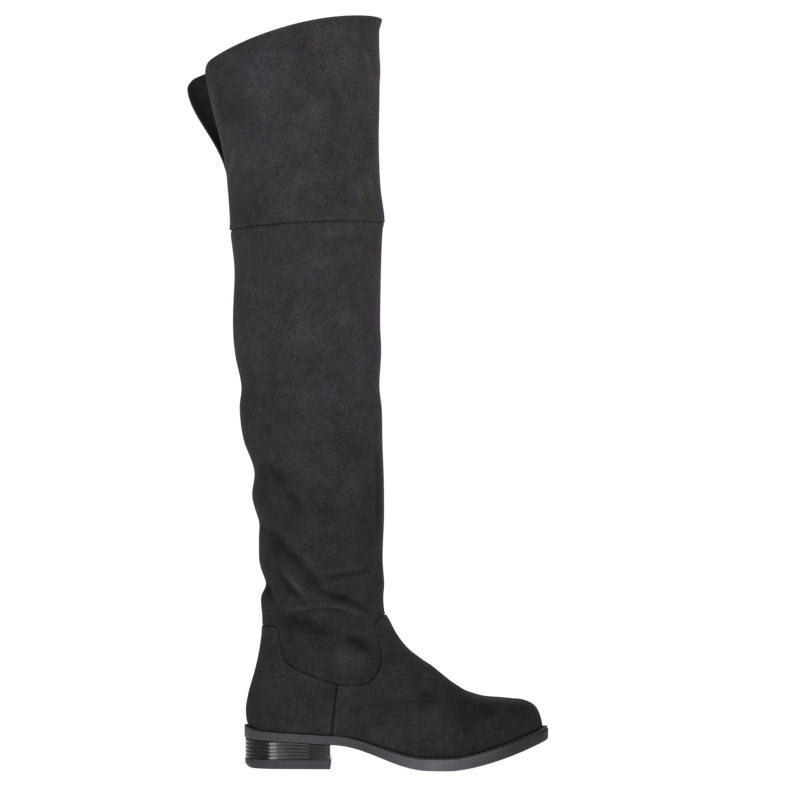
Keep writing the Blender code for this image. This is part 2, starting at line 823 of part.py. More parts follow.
def main():
    for obj in list(bpy.data.objects):
        bpy.data.objects.remove(obj)
    boot = bpy.data.objects.new("boot", None)
    boot.location = (-HEEL_LENGTH / 2, 0.0, 0.0)
    bpy.context.scene.collection.objects.link(boot)
    suede = material("black_suede", (0.022, 0.021, 0.022), 0.95)
    rubber = material("dark_rubber", (0.035, 0.036, 0.042), 0.60)
    stacked = material("stacked_heel", (0.018, 0.016, 0.015), 0.25)
    board = material("insole_lining", (0.030, 0.028, 0.032), 0.85)
    build_upper(suede)
    build_shaft(suede)
    build_cuff(suede)
    build_insole(board)
    build_outsole(rubber)
    build_welt(rubber)
    build_heel_block(stacked)
    build_heel_lift(rubber)


main()
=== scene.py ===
"""Looks of the over-the-knee suede boot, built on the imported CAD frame.

The form of the boot is worked out here as in the part's source, with more rows and
columns, so that creases, seams, stitches and the welt's notches can lie on it.
"""

import math
from functools import lru_cache

import bmesh
import bpy
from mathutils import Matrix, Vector, noise


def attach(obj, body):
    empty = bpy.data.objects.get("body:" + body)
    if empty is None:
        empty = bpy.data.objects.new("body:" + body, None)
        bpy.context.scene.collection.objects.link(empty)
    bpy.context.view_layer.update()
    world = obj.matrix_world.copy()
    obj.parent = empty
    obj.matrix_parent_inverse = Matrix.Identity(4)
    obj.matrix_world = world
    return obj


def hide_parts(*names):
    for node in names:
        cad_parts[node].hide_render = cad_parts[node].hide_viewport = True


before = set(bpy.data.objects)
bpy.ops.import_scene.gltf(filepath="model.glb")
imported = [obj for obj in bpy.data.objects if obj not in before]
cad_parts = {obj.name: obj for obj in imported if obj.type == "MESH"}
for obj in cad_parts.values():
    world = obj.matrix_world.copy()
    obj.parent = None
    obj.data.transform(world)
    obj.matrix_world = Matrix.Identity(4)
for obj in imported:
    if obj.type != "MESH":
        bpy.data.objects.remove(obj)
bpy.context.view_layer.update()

# Sole, seen from above
SOLE_LENGTH = 0.270
BALL_WIDTH = 0.096
TOE_SWING = 0.007
HEEL_ROUND = 0.030
TOE_ROUND = 0.058
ROUNDING = 2.2
HEEL_MARGIN = 0.0018
HEEL_BACK_MARGIN = 0.0043
WELT_MARGIN = 0.0045

# Sole, seen from the side
HEEL_LENGTH = 0.0785
HEEL_RISE = 0.0212
SEAT_PITCH = 0.0045
TREAD_START = 0.166
TREAD_END = 0.184
TOE_SPRING = 0.0246
SPRING_POWER = 1.5
WAIST_THICKNESS = 0.0083
BALL_THICKNESS = 0.0102
TOE_THICKNESS = 0.0112
SOLE_EDGE = 0.0010
TREAD_EDGE = 0.0017
HEEL_LIP = 0.0034
HEEL_LIP_LENGTH = 0.022

# Heel
LIFT_THICKNESS = 0.0080
LIFT_BEVEL = 0.0038
LIFT_BEVEL_LENGTH = 0.009
HEEL_INSET = 0.0006
STACK_LAYERS = 5
STACK_GROOVE = 0.0004

# Welt and insole
WELT_HEIGHT = 0.0017
WELT_CLEARANCE = 0.0026
WELT_EDGE = 0.0006
WELT_START = 0.46
INSOLE_INSET = 0.0040
INSOLE_THICKNESS = 0.0025

# Upper and leg
BOOT_HEIGHT = 0.6640
INSTEP_HEIGHT = 0.140
LEG_AXIS = 0.0558
KNEE_DEPTH = 0.1365
KNEE_WIDTH = 0.112
WALL = 0.0014
GAP = 0.0003
LAP = 0.008
SHAFT_INSET = 0.0006
SHAFT_LINING = 0.0027
VAMP_STEP = 0.0006
VAMP_FADE = 0.050
FEATHER_BULGE = 1.035
KNEE_SEAM_HEIGHT = 0.4830
KNEE_SEAM_DROP = 0.0066

# Collar, and the split down the back of the cuff
COLLAR_DROP = 0.042
COLLAR_POWER = 1.8
COLLAR_ROLL = 0.0025
ROLL_DEPTH = 0.011
SLIT_OVER_SEAM = 0.039
SLIT_TURN = 0.85
SLIT_POWER = 0.8
CORNER_ROUND = 0.008
INNER_LEAN = 0.235
OUTER_LEAN = 0.025

# Half-widths of the sole on the outer and inner side, as shares of BALL_WIDTH,
# along the sole's length from back to toe.
OUTLINE = (
    (0.00, 0.305, 0.310),
    (0.14, 0.318, 0.325),
    (0.28, 0.322, 0.298),
    (0.42, 0.352, 0.262),
    (0.54, 0.425, 0.345),
    (0.64, 0.488, 0.452),
    (0.73, 0.492, 0.508),
    (0.82, 0.450, 0.492),
    (0.91, 0.385, 0.430),
    (1.00, 0.300, 0.340),
)

# Level sections of the leg from the collar down, one for each bulge or crease of its
# outline. Height is a share of BOOT_HEIGHT, back and front are shares of KNEE_DEPTH
# from the leg's axis, and half is the half-width as a share of KNEE_WIDTH.
LEG = (
    (1.006, -0.685, 0.470, 0.560),
    (0.969, -0.673, 0.470, 0.562),
    (0.932, -0.658, 0.470, 0.560),
    (0.889, -0.619, 0.468, 0.552),
    (0.836, -0.560, 0.463, 0.536),
    (0.782, -0.521, 0.473, 0.518),
    (0.734, -0.500, 0.506, 0.505),
    (0.713, -0.498, 0.499, 0.500),
    (0.665, -0.474, 0.491, 0.494),
    (0.598, -0.488, 0.482, 0.490),
    (0.553, -0.471, 0.486, 0.484),
    (0.510, -0.431, 0.475, 0.474),
    (0.478, -0.444, 0.491, 0.464),
    (0.436, -0.419, 0.493, 0.450),
    (0.396, -0.350, 0.499, 0.428),
    (0.361, -0.364, 0.503, 0.408),
    (0.324, -0.321, 0.502, 0.388),
    (0.275, -0.315, 0.495, 0.364),
    (0.245, -0.274, 0.505, 0.350),
    (0.226, -0.305, 0.501, 0.342),
)

# Tilted sections from the ankle down the back of the heel. The low end is on the
# heel, the top end on the instep. Lengths along are shares of SOLE_LENGTH, heights
# of INSTEP_HEIGHT and half-widths of BALL_WIDTH. The last column squares the low end.
# Columns: low end along and high, top end along and high, half-width, squareness.
HEEL = (
    (0.056, 0.948, 0.465, 0.980, 0.384, 2.20),
    (0.056, 0.853, 0.480, 0.923, 0.372, 2.30),
    (0.049, 0.745, 0.503, 0.840, 0.360, 2.45),
    (0.035, 0.618, 0.539, 0.752, 0.354, 2.60),
    (0.013, 0.466, 0.585, 0.682, 0.352, 2.80),
    (0.005, 0.352, 0.617, 0.641, 0.352, 2.95),
)

# Sections of the foot that stand on the sole, from the back of the heel to the toe.
# The low end lies on the feather line; rise is the top end's height over the sole, as
# a share of INSTEP_HEIGHT. Squareness is that of the low and the top half.
# Columns: low end, top end, rise, half-width, squareness, crown.
FOOT = (
    (0.016, 0.648, 0.518, 0.355, 3.00, 2.05),
    (0.059, 0.674, 0.477, 0.362, 3.00, 2.05),
    (0.135, 0.701, 0.438, 0.372, 2.90, 2.10),
    (0.234, 0.725, 0.403, 0.384, 2.70, 2.15),
    (0.349, 0.753, 0.372, 0.398, 2.50, 2.20),
    (0.470, 0.783, 0.343, 0.412, 2.40, 2.25),
    (0.579, 0.816, 0.318, 0.420, 2.35, 2.30),
    (0.678, 0.849, 0.293, 0.400, 2.30, 2.35),
    (0.766, 0.880, 0.266, 0.300, 2.30, 2.35),
    (0.842, 0.909, 0.241, 0.100, 2.30, 2.35),
    (0.901, 0.938, 0.202, 0.000, 2.30, 2.30),
    (0.944, 0.960, 0.152, 0.000, 2.30, 2.30),
    (0.970, 0.974, 0.086, 0.000, 2.30, 2.30),
    (0.983, 0.983, 0.000, 0.000, 2.30, 2.30),
)

# The shaft's lower edge in the side view, from the back over the bowl to the front:
# shares of SOLE_LENGTH and of INSTEP_HEIGHT.
ANKLE_SEAM = (
    (0.000, 0.893),
    (0.060, 0.893),
    (0.096, 0.895),
    (0.113, 0.880),
    (0.121, 0.814),
    (0.134, 0.706),
    (0.166, 0.640),
    (0.232, 0.587),
    (0.306, 0.536),
    (0.345, 0.528),
    (0.383, 0.530),
    (0.418, 0.549),
    (0.445, 0.602),
    (0.457, 0.667),
    (0.458, 0.733),
    (0.451, 0.800),
    (0.438, 0.888),
    (0.442, 0.922),
    (0.454, 0.948),
    (0.480, 0.975),
    (0.520, 0.990),
)

# Where the vamp laps over the counter: a straight seam down each side, from the
# shaft's edge to the sole, in the same shares.
SIDE_SEAM_TOP = (0.314, 0.529)
SIDE_SEAM_FOOT = (0.297, 0.230)


def hermite(left, right, slope_left, slope_right, t):
    """Cubic between two values with the given slopes, for t from 0 to 1."""
    return (
        left * (1 + 2 * t) * (1 - t) ** 2
        + slope_left * t * (1 - t) ** 2
        + right * t * t * (3 - 2 * t)
        + slope_right * t * t * (t - 1)
    )


def along_rows(rows, station):
    """Every column of the rows, smoothed, at a place counted in rows."""
    last = len(rows) - 1
    k = min(max(int(station), 0), last - 1)
    before, left, right, after = (rows[min(max(k + i, 0), last)] for i in (-1, 0, 1, 2))
    return [
        hermite(b, c, (c - a) / 2, (d - b) / 2, station - k)
        for a, b, c, d in zip(before, left, right, after)
    ]


def by_key(rows, key):
    """The columns after the first, smoothed, where the first column equals key."""
    k = max((i for i in range(len(rows) - 1) if rows[i][0] <= key), default=0)
    span = rows[k + 1][0] - rows[k][0]
    return along_rows(rows, k + held((key - rows[k][0]) / span))[1:]


def held(t):
    """The value, kept between 0 and 1."""
    return min(max(t, 0.0), 1.0)


def smooth_step(t):
    t = held(t)
    return t * t * (3 - 2 * t)


def bell(distance, width):
    return math.exp(-((distance / width) ** 2))


def rounding(t):
    """Rises from 0 to 1 like the rounded end of an outline."""
    return (1 - (1 - held(t)) ** ROUNDING) ** (1 / ROUNDING)


def sole_centre(x):
    """The sole's middle line swings inwards towards the toe."""
    return TOE_SWING * (max(x, 0.0) / SOLE_LENGTH) ** 2


def outline_share(x, side):
    outer, inner = by_key(OUTLINE, held(x / SOLE_LENGTH))
    return outer if side < 0 else inner


def sole_half(x, side, inset=0.0):
    """Half-width of the sole on one side (-1 outer, +1 inner), drawn in by inset."""
    body = BALL_WIDTH * outline_share(x, side) - inset
    from_back = (x - inset) / HEEL_ROUND
    return body * rounding(from_back) * rounding((SOLE_LENGTH - inset - x) / TOE_ROUND)


FEATHER_BACK = HEEL_BACK_MARGIN
FEATHER_TOE = SOLE_LENGTH - WELT_MARGIN


def margin(x):
    """How far the sole stands out sideways: little at the heel, a welt's width ahead."""
    share = smooth_step((x - HEEL_LENGTH) / (TREAD_START - HEEL_LENGTH))
    return HEEL_MARGIN + (WELT_MARGIN - HEEL_MARGIN) * share


def feather_half(x, side, inset=0.0):
    """Half-width of the line where the upper meets the sole."""
    body = BALL_WIDTH * outline_share(x, side) - margin(x) - inset
    from_back = (x - FEATHER_BACK - inset) / HEEL_ROUND
    return body * rounding(from_back) * rounding((FEATHER_TOE - inset - x) / TOE_ROUND)


def sole_bottom(x):
    """Underside of the sole: heel seat, waist, flat tread and toe spring."""
    x = min(max(x, 0.0), SOLE_LENGTH)
    if x < HEEL_LENGTH:
        return HEEL_RISE + SEAT_PITCH * (1 - x / HEEL_LENGTH)
    if x < TREAD_END:
        waist = (x - HEEL_LENGTH) / (TREAD_START - HEEL_LENGTH)
        return HEEL_RISE * (1 + math.cos(math.pi * min(waist, 1.0))) / 2
    return TOE_SPRING * ((x - TREAD_END) / (SOLE_LENGTH - TREAD_END)) ** SPRING_POWER


def sole_top(x):
    """Upper face of the sole, which the upper stands on."""
    to_ball = smooth_step((x - HEEL_LENGTH) / (TREAD_END - HEEL_LENGTH))
    to_toe = smooth_step((x - TREAD_END) / (SOLE_LENGTH - TREAD_END))
    swell = (BALL_THICKNESS - WAIST_THICKNESS) * to_ball
    swell += (TOE_THICKNESS - BALL_THICKNESS) * to_toe
    lip = HEEL_LIP * max(1 - max(x, 0.0) / HEEL_LIP_LENGTH, 0.0) ** 2
    return sole_bottom(x) + WAIST_THICKNESS + swell + lip


def leg_section(row):
    height, back, front, half = row
    z, reach = height * BOOT_HEIGHT, half * KNEE_WIDTH
    low_x, top_x = LEG_AXIS + back * KNEE_DEPTH, LEG_AXIS + front * KNEE_DEPTH
    return (low_x, z, top_x, z, reach, reach, 2.2, 2.1)


def heel_section(row):
    low, low_height, top, top_height, half, squareness = row
    low_x, low_z = low * SOLE_LENGTH, low_height * INSTEP_HEIGHT
    top_x, top_z = top * SOLE_LENGTH, top_height * INSTEP_HEIGHT
    reach = half * BALL_WIDTH
    return (low_x, low_z, top_x, top_z, reach, reach, squareness, 2.05)


def widest(half, feather):
    """The wider of a section's own half-width and its bulge over the feather line."""
    return (half**8 + (FEATHER_BULGE * feather) ** 8) ** (1 / 8)


def foot_section(row):
    low, top, rise, half, squareness, crown = row
    low_x = min(max(low * SOLE_LENGTH, FEATHER_BACK), FEATHER_TOE)
    top_x = min(top * SOLE_LENGTH, FEATHER_TOE)
    top_z = sole_top(top_x) + GAP + rise * INSTEP_HEIGHT
    outer = widest(half * BALL_WIDTH, feather_half(low_x, -1))
    inner = widest(half * BALL_WIDTH, feather_half(low_x, 1))
    return (low_x, sole_top(low_x) + GAP, top_x, top_z, outer, inner, squareness, crown)


SECTIONS = (
    [leg_section(row) for row in LEG]
    + [heel_section(row) for row in HEEL]
    + [foot_section(row) for row in FOOT]
)


@lru_cache(maxsize=None)
def section(station):
    """The boot's section at a station. It is asked for again and again, so it is kept."""
    return tuple(along_rows(SECTIONS, station))


HEEL_START = len(LEG)
FOOT_START = len(LEG) + len(HEEL)
TOE_END = len(SECTIONS) - 1
SLIT_HEIGHT = KNEE_SEAM_HEIGHT + SLIT_OVER_SEAM
SLIT_LENGTH = BOOT_HEIGHT - COLLAR_DROP - SLIT_HEIGHT


def slit_share(z):
    """0 at the foot of the split, about 1 at the collar."""
    return max((z - SLIT_HEIGHT) / SLIT_LENGTH, 0.0)


def turn_at(column, station):
    """Where a column stands on the section: the columns draw aside for the split."""
    if station >= HEEL_START:
        return column
    share = slit_share(section(station)[1]) ** SLIT_POWER
    slit = SLIT_TURN * SLIT_LENGTH * share
    return slit + (1 - slit) * column


def flap_flare(x, z, low_x, side):
    """How far a flap of the split leans back, most at its own edge."""
    reach = 1 - smooth_step((x - low_x) / (0.45 * KNEE_DEPTH))
    lean = INNER_LEAN if side > 0 else OUTER_LEAN
    return lean * SLIT_LENGTH * smooth_step(slit_share(z) / 0.8) * reach


def collar_roll(x, z, low_x, top_x):
    """The collar's edge rolls forward a little at the front."""
    drop = max(collar_height(x, low_x, top_x) - z, 0.0)
    front = smooth_step((x - low_x) / (top_x - low_x) * 4 - 3)
    return COLLAR_ROLL * (1 - smooth_step(drop / ROLL_DEPTH)) * front


def foot_share(z):
    """The toe's inward swing fades out up the ankle."""
    return 1 - smooth_step((z / INSTEP_HEIGHT - 0.5) / 0.5)


def forward(angle, squareness, crown):
    """Share of the section's chord passed at an angle round it."""
    power = 2 / (squareness if angle < math.pi / 2 else crown)
    return (1 - math.copysign(abs(math.cos(angle)) ** power, math.cos(angle))) / 2


def skin(column, station):
    """A point of the boot's outer form. A column goes 0 to 1 from the low end of the
    section over the outer side to its top, and 1 to 2 back over the inner side."""
    low_x, low_z, top_x, top_z, outer, inner, squareness, crown = section(station)
    turn = turn_at(column, station)
    side = -1 if turn <= 1 else 1
    share = turn if turn <= 1 else 2 - turn
    reach = outer if side < 0 else inner
    start = 0.0
    if station > FOOT_START:
        low_x = min(max(low_x, FEATHER_BACK), FEATHER_TOE)
        low_z = sole_top(low_x) + GAP
        stand = feather_half(low_x, side)
        reach = max(reach, 1.01 * stand, 1e-7)
        start = math.asin((stand / reach) ** (squareness / 2))
    angle = start + (math.pi - start) * share
    cut = forward(start, squareness, crown)
    along = (forward(angle, squareness, crown) - cut) / (1 - cut)
    x = low_x + (top_x - low_x) * along
    z = low_z + (top_z - low_z) * along
    power = 2 / (squareness if angle < math.pi / 2 else crown)
    y = side * reach * abs(math.sin(angle)) ** power
    if station < HEEL_START:
        x += collar_roll(x, z, low_x, top_x) - flap_flare(x, z, low_x, side)
    return Vector((x, sole_centre(x) * foot_share(z) + y, z))


def outward(column, station):
    """Unit normal of the outer form, from its own slopes."""
    step = 1e-3
    up, down = max(station - step, 0.0), min(station + step, TOE_END)
    fall = skin(column, down) - skin(column, up)
    left, right = column - step, column + step
    if station > FOOT_START or turn_at(0.0, station) > 0:
        left, right = max(left, 0.0), min(right, 2.0)
    across = skin(right % 2 if right > 2 else right, station) - skin(left % 2, station)
    return fall.cross(across).normalized()


def collar_height(x, low_x, top_x):
    """The collar is high at the front and falls away towards the back."""
    share = max((top_x - x) / (top_x - low_x), 0.0)
    return BOOT_HEIGHT - COLLAR_DROP * share**COLLAR_POWER


def above_collar(column, station):
    """Above the collar line, whose ends are rounded off at the split."""
    row, point = section(station), skin(column, station)
    end = skin(0.0 if column <= 1 else 2.0, station)
    from_edge = abs(point.x - end.x)
    missing = max(CORNER_ROUND - from_edge, 0.0)
    corner = CORNER_ROUND - math.sqrt(CORNER_ROUND**2 - missing**2)
    return point.z > collar_height(point.x, row[0], row[2]) - corner


def above_knee_seam(column, station):
    row, point = section(station), skin(column, station)
    share = held((row[2] - point.x) / (row[2] - row[0]))
    return point.z > KNEE_SEAM_HEIGHT - KNEE_SEAM_DROP * share**2


def ankle_line():
    """The shaft's lower edge as points x, z, drawn on level far behind and ahead."""
    rows = [along_rows(ANKLE_SEAM, i / 8) for i in range(8 * len(ANKLE_SEAM) - 7)]
    rows = [[-1.0, rows[0][1]], *rows, [2.0, rows[-1][1]]]
    return [(along * SOLE_LENGTH, height * INSTEP_HEIGHT) for along, height in rows]


ANKLE_LINE = ankle_line()


def above_ankle_seam(column, station):
    """On the shaft's side of its lower edge, in the side view."""
    point = skin(column, station)
    below = 0
    for (x0, z0), (x1, z1) in zip(ANKLE_LINE, ANKLE_LINE[1:]):
        if (x0 <= point.x) != (x1 <= point.x):
            below += z0 + (z1 - z0) * (point.x - x0) / (x1 - x0) < point.z
    return below % 2 == 1


def crossing(column, above):
    """The station where a column going down the boot first leaves the upper side."""
    high = 0.0
    while above(column, high):
        high += 0.125
    low = high - 0.125
    for _ in range(18):
        middle = (low + high) / 2
        if above(column, middle):
            low = middle
        else:
            high = middle
    return (low + high) / 2


def further(column, station, distance):
    """The station a distance further down the column, or up where it is negative."""
    step = 0.02
    speed = (skin(column, station + step) - skin(column, station)).length / step
    return station + distance / speed


def face(bm, corners, index=0):
    """A face through the corners that differ, with its material's index."""
    distinct = list(dict.fromkeys(corners))
    if len(distinct) > 2:
        bm.faces.new(distinct).material_index = index


def spread(start, end, steps, marks=()):
    """Places from start to end, closest at both ends, with the given marks among them."""
    even = [(1 - math.cos(math.pi * i / steps)) / 2 for i in range(steps + 1)]
    return sorted({*(start + (end - start) * share for share in even), *marks})


def ring(bm, places, half, inset, height):
    """Corners along the outer and the inner side of an outline, at a height set by x."""
    sides = []
    for side in (-1, 1):
        row = []
        for k, x in enumerate(places):
            reach = half(x, side, inset)
            if side > 0 and reach < 1e-6:
                row.append(sides[0][k])
                continue
            y = sole_centre(x) + side * reach
            row.append(bm.verts.new((x, y, height(x))))
        sides.append(row)
    return sides


def stack(bm, rings):
    """Joins rings into one closed body."""
    for low, high in zip(rings, rings[1:]):
        for side in (0, 1):
            for k in range(len(low[side]) - 1):
                a, b = low[side], high[side]
                face(bm, (a[k], a[k + 1], b[k + 1], b[k]))
        for k in (0, -1):
            if low[0][k] is not low[1][k]:
                face(bm, (low[0][k], low[1][k], high[1][k], high[0][k]))
    for outer, inner in (rings[0], rings[-1]):
        for k in range(len(outer) - 1):
            face(bm, (outer[k], outer[k + 1], inner[k + 1], inner[k]))


# How fine the shown forms are
FINE_COLUMNS = 100
CUFF_FLAP_ROWS = 60
CUFF_BODY_ROWS = 18
SHAFT_ROWS = 210
HEEL_ROWS = 40
FOOT_ROWS = 120
FINE_PLACES = 2000
TOE_PLACES = 3000
GATHERING = 3.4
SOLE_STEPS = 150
INSOLE_STEPS = 90
WELT_STEPS = 900
WELT_EDGE_STEPS = 360
HEEL_STEPS = 60
HEM_STEPS = (0.0, 0.0003, 0.0007, 0.0012, 0.0018, 0.0024, 0.0030, 0.0036, 0.0044, 0.0056)

# Folded edges and stitches; their lengths are in metres
HEM_ROLL = 0.0007
HEM_DENT = 0.00022
COLLAR_HEM = 0.8
# Share of the painted hem shade kept along the collar
COLLAR_HEM_PAINTED_SHADE = 0.6
KNEE_SWELL = 0.00035
VAMP_ROLL = 0.0006
VAMP_EDGE = 0.0003
SPARE_WALL = 0.0008
TUCK_STEPS = (0.0002, 0.0008, 0.0014, 0.0022)
STITCH_FROM_EDGE = 0.0024
SECOND_ROW = 0.0048
STITCH_PITCH = 0.0027
STITCH_LENGTH = 0.0019
STITCH_RADIUS = 0.00028
STITCH_SIDES = 6
STITCH_SKEW = 0.06
LEG_STITCH_SINK = 0.00010
FOOT_STITCH_SINK = 0.00012
SIDE_STITCH_SINK = 0.00014
SIDE_STITCH_LINE = 0.0027
COLLAR_STITCH_FROM_EDGE = 0.0016
COLLAR_STITCH_PITCH = 0.0018
COLLAR_STITCH_LENGTH = 0.0012
SIDE_DENT = 0.0026
SIDE_CUTS = (-0.0016, -0.0008, -0.0004, 0.0, 0.00008, 0.0002, 0.0004, 0.0007, 0.0012, 0.0020,
             0.0030, 0.0042)
NOTCH_PITCH = 0.0053
NOTCH_SHARES = (0.0, 0.12, 0.15, 0.76, 0.79)
NOTCHED = (2, 3)

# Rows close below the rand's rim, and how its tone changes along the sole: painted highlights on
# the ball and along the rim, painted shade ahead of the heel and towards the toe
RIM_ROWS = (0.0024, 0.0017)
BALL_PAINTED_HIGHLIGHT = 1.40
RIM_PAINTED_HIGHLIGHT = 0.7
WAIST_SHADE = 0.28
TOE_SHADE = 0.42

# Painted shade: how much darker the leg is made low down, and the foot towards the toe and at its
# tip
ANKLE_SHADE = 0.38
TOE_DARK = 0.32
TIP_DARK = 0.12

# The leg's softness fades towards the collar
CALM_FROM = 0.6775
CALM_FADE = 0.05

# Swells beside a crease, as shares of its width, and the lower one's share in height
LIP_PLACE = 1.7
LIP_WIDTH = 1.15
LOWER_LIP = 0.4

# Insets of the stack's rows up each layer, as shares of STACK_GROOVE
LAYER_ROWS = ((0.05, 0.5), (0.08, 0.0), (0.5, 0.27), (0.92, 0.55), (0.95, 0.8), (1.0, 1.0))
BREAST_SHIFT = 0.003

# Creases and dents of the outer side, as they hang in the photo. A line runs through
# points given as shares of SOLE_LENGTH and BOOT_HEIGHT. Depth is in mm (a ridge is
# negative), width in mm, and lip is how much the upper side swells beside the line.
CREASES = (
    (2.8, 5.6, 0.55, ((0.064, 0.321), (0.136, 0.295), (0.194, 0.270), (0.240, 0.248),
                      (0.258, 0.239))),
    (1.8, 3.2, 0.45, ((0.129, 0.256), (0.152, 0.244), (0.178, 0.231))),
    (1.5, 2.8, 0.40, ((0.077, 0.247), (0.087, 0.236), (0.100, 0.221))),
    (1.5, 4.5, 0.35, ((0.159, 0.369), (0.175, 0.358), (0.194, 0.345))),
    (1.3, 7.0, 0.20, ((0.058, 0.404), (0.103, 0.392), (0.146, 0.381))),
    (1.0, 2.6, 0.50, ((0.262, 0.2530), (0.325, 0.2584), (0.385, 0.2620), (0.425, 0.2635))),
    (-1.3, 1.4, 0.0, ((0.119, 0.2092), (0.167, 0.2124), (0.193, 0.2147), (0.219, 0.2167),
                      (0.259, 0.2181), (0.302, 0.2179), (0.333, 0.2149), (0.359, 0.2109),
                      (0.381, 0.2068), (0.405, 0.2045))),
    (0.8, 1.5, 0.0, ((0.205, 0.2116), (0.259, 0.2137), (0.302, 0.2135), (0.335, 0.2105),
                     (0.352, 0.2080))),
    (-0.8, 2.2, 0.0, ((0.150, 0.262), (0.185, 0.243), (0.215, 0.228))),
    (-0.7, 1.5, 0.0, ((0.415, 0.785), (0.425, 0.768), (0.437, 0.752))),
    (1.2, 2.6, 0.20, ((0.325, 0.2262), (0.373, 0.2205), (0.415, 0.2110))),
    (1.3, 3.6, 0.25, ((0.250, 0.2385), (0.305, 0.2300), (0.352, 0.2285))),
    (1.8, 5.5, 0.30, ((0.345, 0.176), (0.382, 0.168), (0.420, 0.160))),
    (1.9, 9.0, 0.10, ((0.130, 0.197), (0.200, 0.192), (0.290, 0.184))),
    (0.4, 4.5, 0.00, ((0.135, 0.199), (0.180, 0.199), (0.225, 0.195))),
    (0.3, 4.2, 0.00, ((0.330, 0.175), (0.375, 0.168), (0.412, 0.160))),
    (-0.8, 9.0, 0.0, ((0.300, 0.150), (0.360, 0.143), (0.410, 0.140))),
    (0.6, 4.5, 0.10, ((0.269, 0.700), (0.344, 0.700), (0.422, 0.701))),
    (-1.7, 2.2, 0.35, ((-0.016, 0.828), (-0.029, 0.808), (-0.046, 0.781))),
    (0.9, 7.0, 0.0, ((0.591, 0.106), (0.614, 0.086))),
    (0.9, 7.0, 0.0, ((0.773, 0.090), (0.818, 0.073))),
    (-0.8, 2.0, 0.0, ((0.402, 0.958), (0.415, 0.937), (0.425, 0.910))),
    (-0.8, 1.8, 0.0, ((0.438, 0.950), (0.448, 0.916))),
    (1.2, 2.4, 0.10, ((0.441, 0.430), (0.445, 0.380), (0.443, 0.318))),
)


def crease_lines():
    """Each crease with its line in millimetres, and its box."""
    made = []
    for depth, width, lip, line in CREASES:
        points = [(a * SOLE_LENGTH * 1e3, b * BOOT_HEIGHT * 1e3) for a, b in line]
        reach = 5.0 * width
        xs, zs = [p[0] for p in points], [p[1] for p in points]
        box = (min(xs) - reach, max(xs) + reach, min(zs) - reach, max(zs) + reach)
        made.append((depth, width, lip, points, box))
    return made


LINES = crease_lines()


def beside(points, x, z):
    """Signed distance to a line, positive above it, and how far along it, 0 to 1."""
    best, signed, place = 1e9, 0.0, 0.0
    count = len(points) - 1
    for k, ((x0, z0), (x1, z1)) in enumerate(zip(points, points[1:])):
        dx, dz = x1 - x0, z1 - z0
        t = ((x - x0) * dx + (z - z0) * dz) / (dx * dx + dz * dz)
        near = held(t)
        distance = math.hypot(x - x0 - near * dx, z - z0 - near * dz)
        if distance < best:
            best = distance
            signed = ((z - z0) * dx - (x - x0) * dz) / math.hypot(dx, dz)
            open_end = (k == 0 and t < 0) or (k == count - 1 and t > 1)
            place = (k + (t if open_end else near)) / count
            if not open_end:
                signed = math.copysign(distance, signed)
    return signed, place


def crease(point):
    """Height of the surface over the plain form, in metres, and its tone: painted shade along
    troughs and painted highlight on ridges and on the swells beside troughs.
    """
    x, z = point.x * 1e3, point.z * 1e3
    height, tone = 0.0, 0.0
    for depth, width, lip, points, (x0, x1, z0, z1) in LINES:
        if not (x0 < x < x1 and z0 < z < z1):
            continue
        signed, place = beside(points, x, z)
        fade = smooth_step((0.5 - abs(place - 0.5) + 0.22) / 0.5)
        width *= 0.75 + 0.25 * fade
        trough = bell(signed, width)
        above = bell(signed - LIP_PLACE * width, LIP_WIDTH * width)
        below = bell(signed + LIP_PLACE * width, LIP_WIDTH * width)
        swell = lip * (above + LOWER_LIP * below)
        fade *= 1 - 0.55 * smooth_step((point.y + 0.012) / 0.024)
        height += depth * fade * (swell - trough)
        colour_weight = max(-1.0, min(1.0, depth))
        # Painted shade in the trough, painted highlight on the swells and along ridges
        tone += fade * colour_weight * (0.34 * swell - (0.32 if depth > 0 else 0.55) * trough)
    return height * 1e-3, tone


def softness(point):
    """Low swells of a soft leg standing empty."""
    share = smooth_step((point.z - 0.10) / 0.08)
    wide = noise.noise(Vector((point.x * 22, point.y * 22, point.z * 13 + 3.7)))
    close = noise.noise(Vector((point.x * 60, point.y * 60 + 9.1, point.z * 34)))
    return share * (0.0011 * wide + 0.00035 * close)


def fine_columns():
    """Even columns, drawn closer together at the back and at the feather line."""
    even = [j / FINE_COLUMNS for j in range(2 * FINE_COLUMNS + 1)]
    return [t - 0.45 * math.sin(2 * math.pi * t) / (2 * math.pi) for t in even]


COLUMNS = fine_columns()
BACK = Vector((-HEEL_LENGTH / 2, 0.0, 0.0))


def seam_below(seam, distance):
    return [further(c, s, distance) for c, s in zip(COLUMNS, seam)]


def between(first, last, count):
    shares = [(i + 1) / (count + 1) for i in range(count)]
    return [[a + (b - a) * t for a, b in zip(first, last)] for t in shares]


def even_steps(measures, count):
    """Where a rising list of measures reaches each of count even steps but the last."""
    found, k = [], 0
    for i in range(1, count):
        wanted = measures[0] + (measures[-1] - measures[0]) * i / count
        while measures[k] < wanted:
            k += 1
        found.append(k)
    return found


def gathered(first, last, count, middle, width):
    """Rows between two others, drawn together around a share of the way."""
    places = [0.0]
    for k in range(FINE_PLACES):
        places.append(places[-1] + (1 + GATHERING * bell(k / FINE_PLACES - middle, width)))
    return [[a + (b - a) * k / FINE_PLACES for a, b in zip(first, last)]
            for k in even_steps(places, count + 1)]


def level(station):
    return [station] * len(COLUMNS)


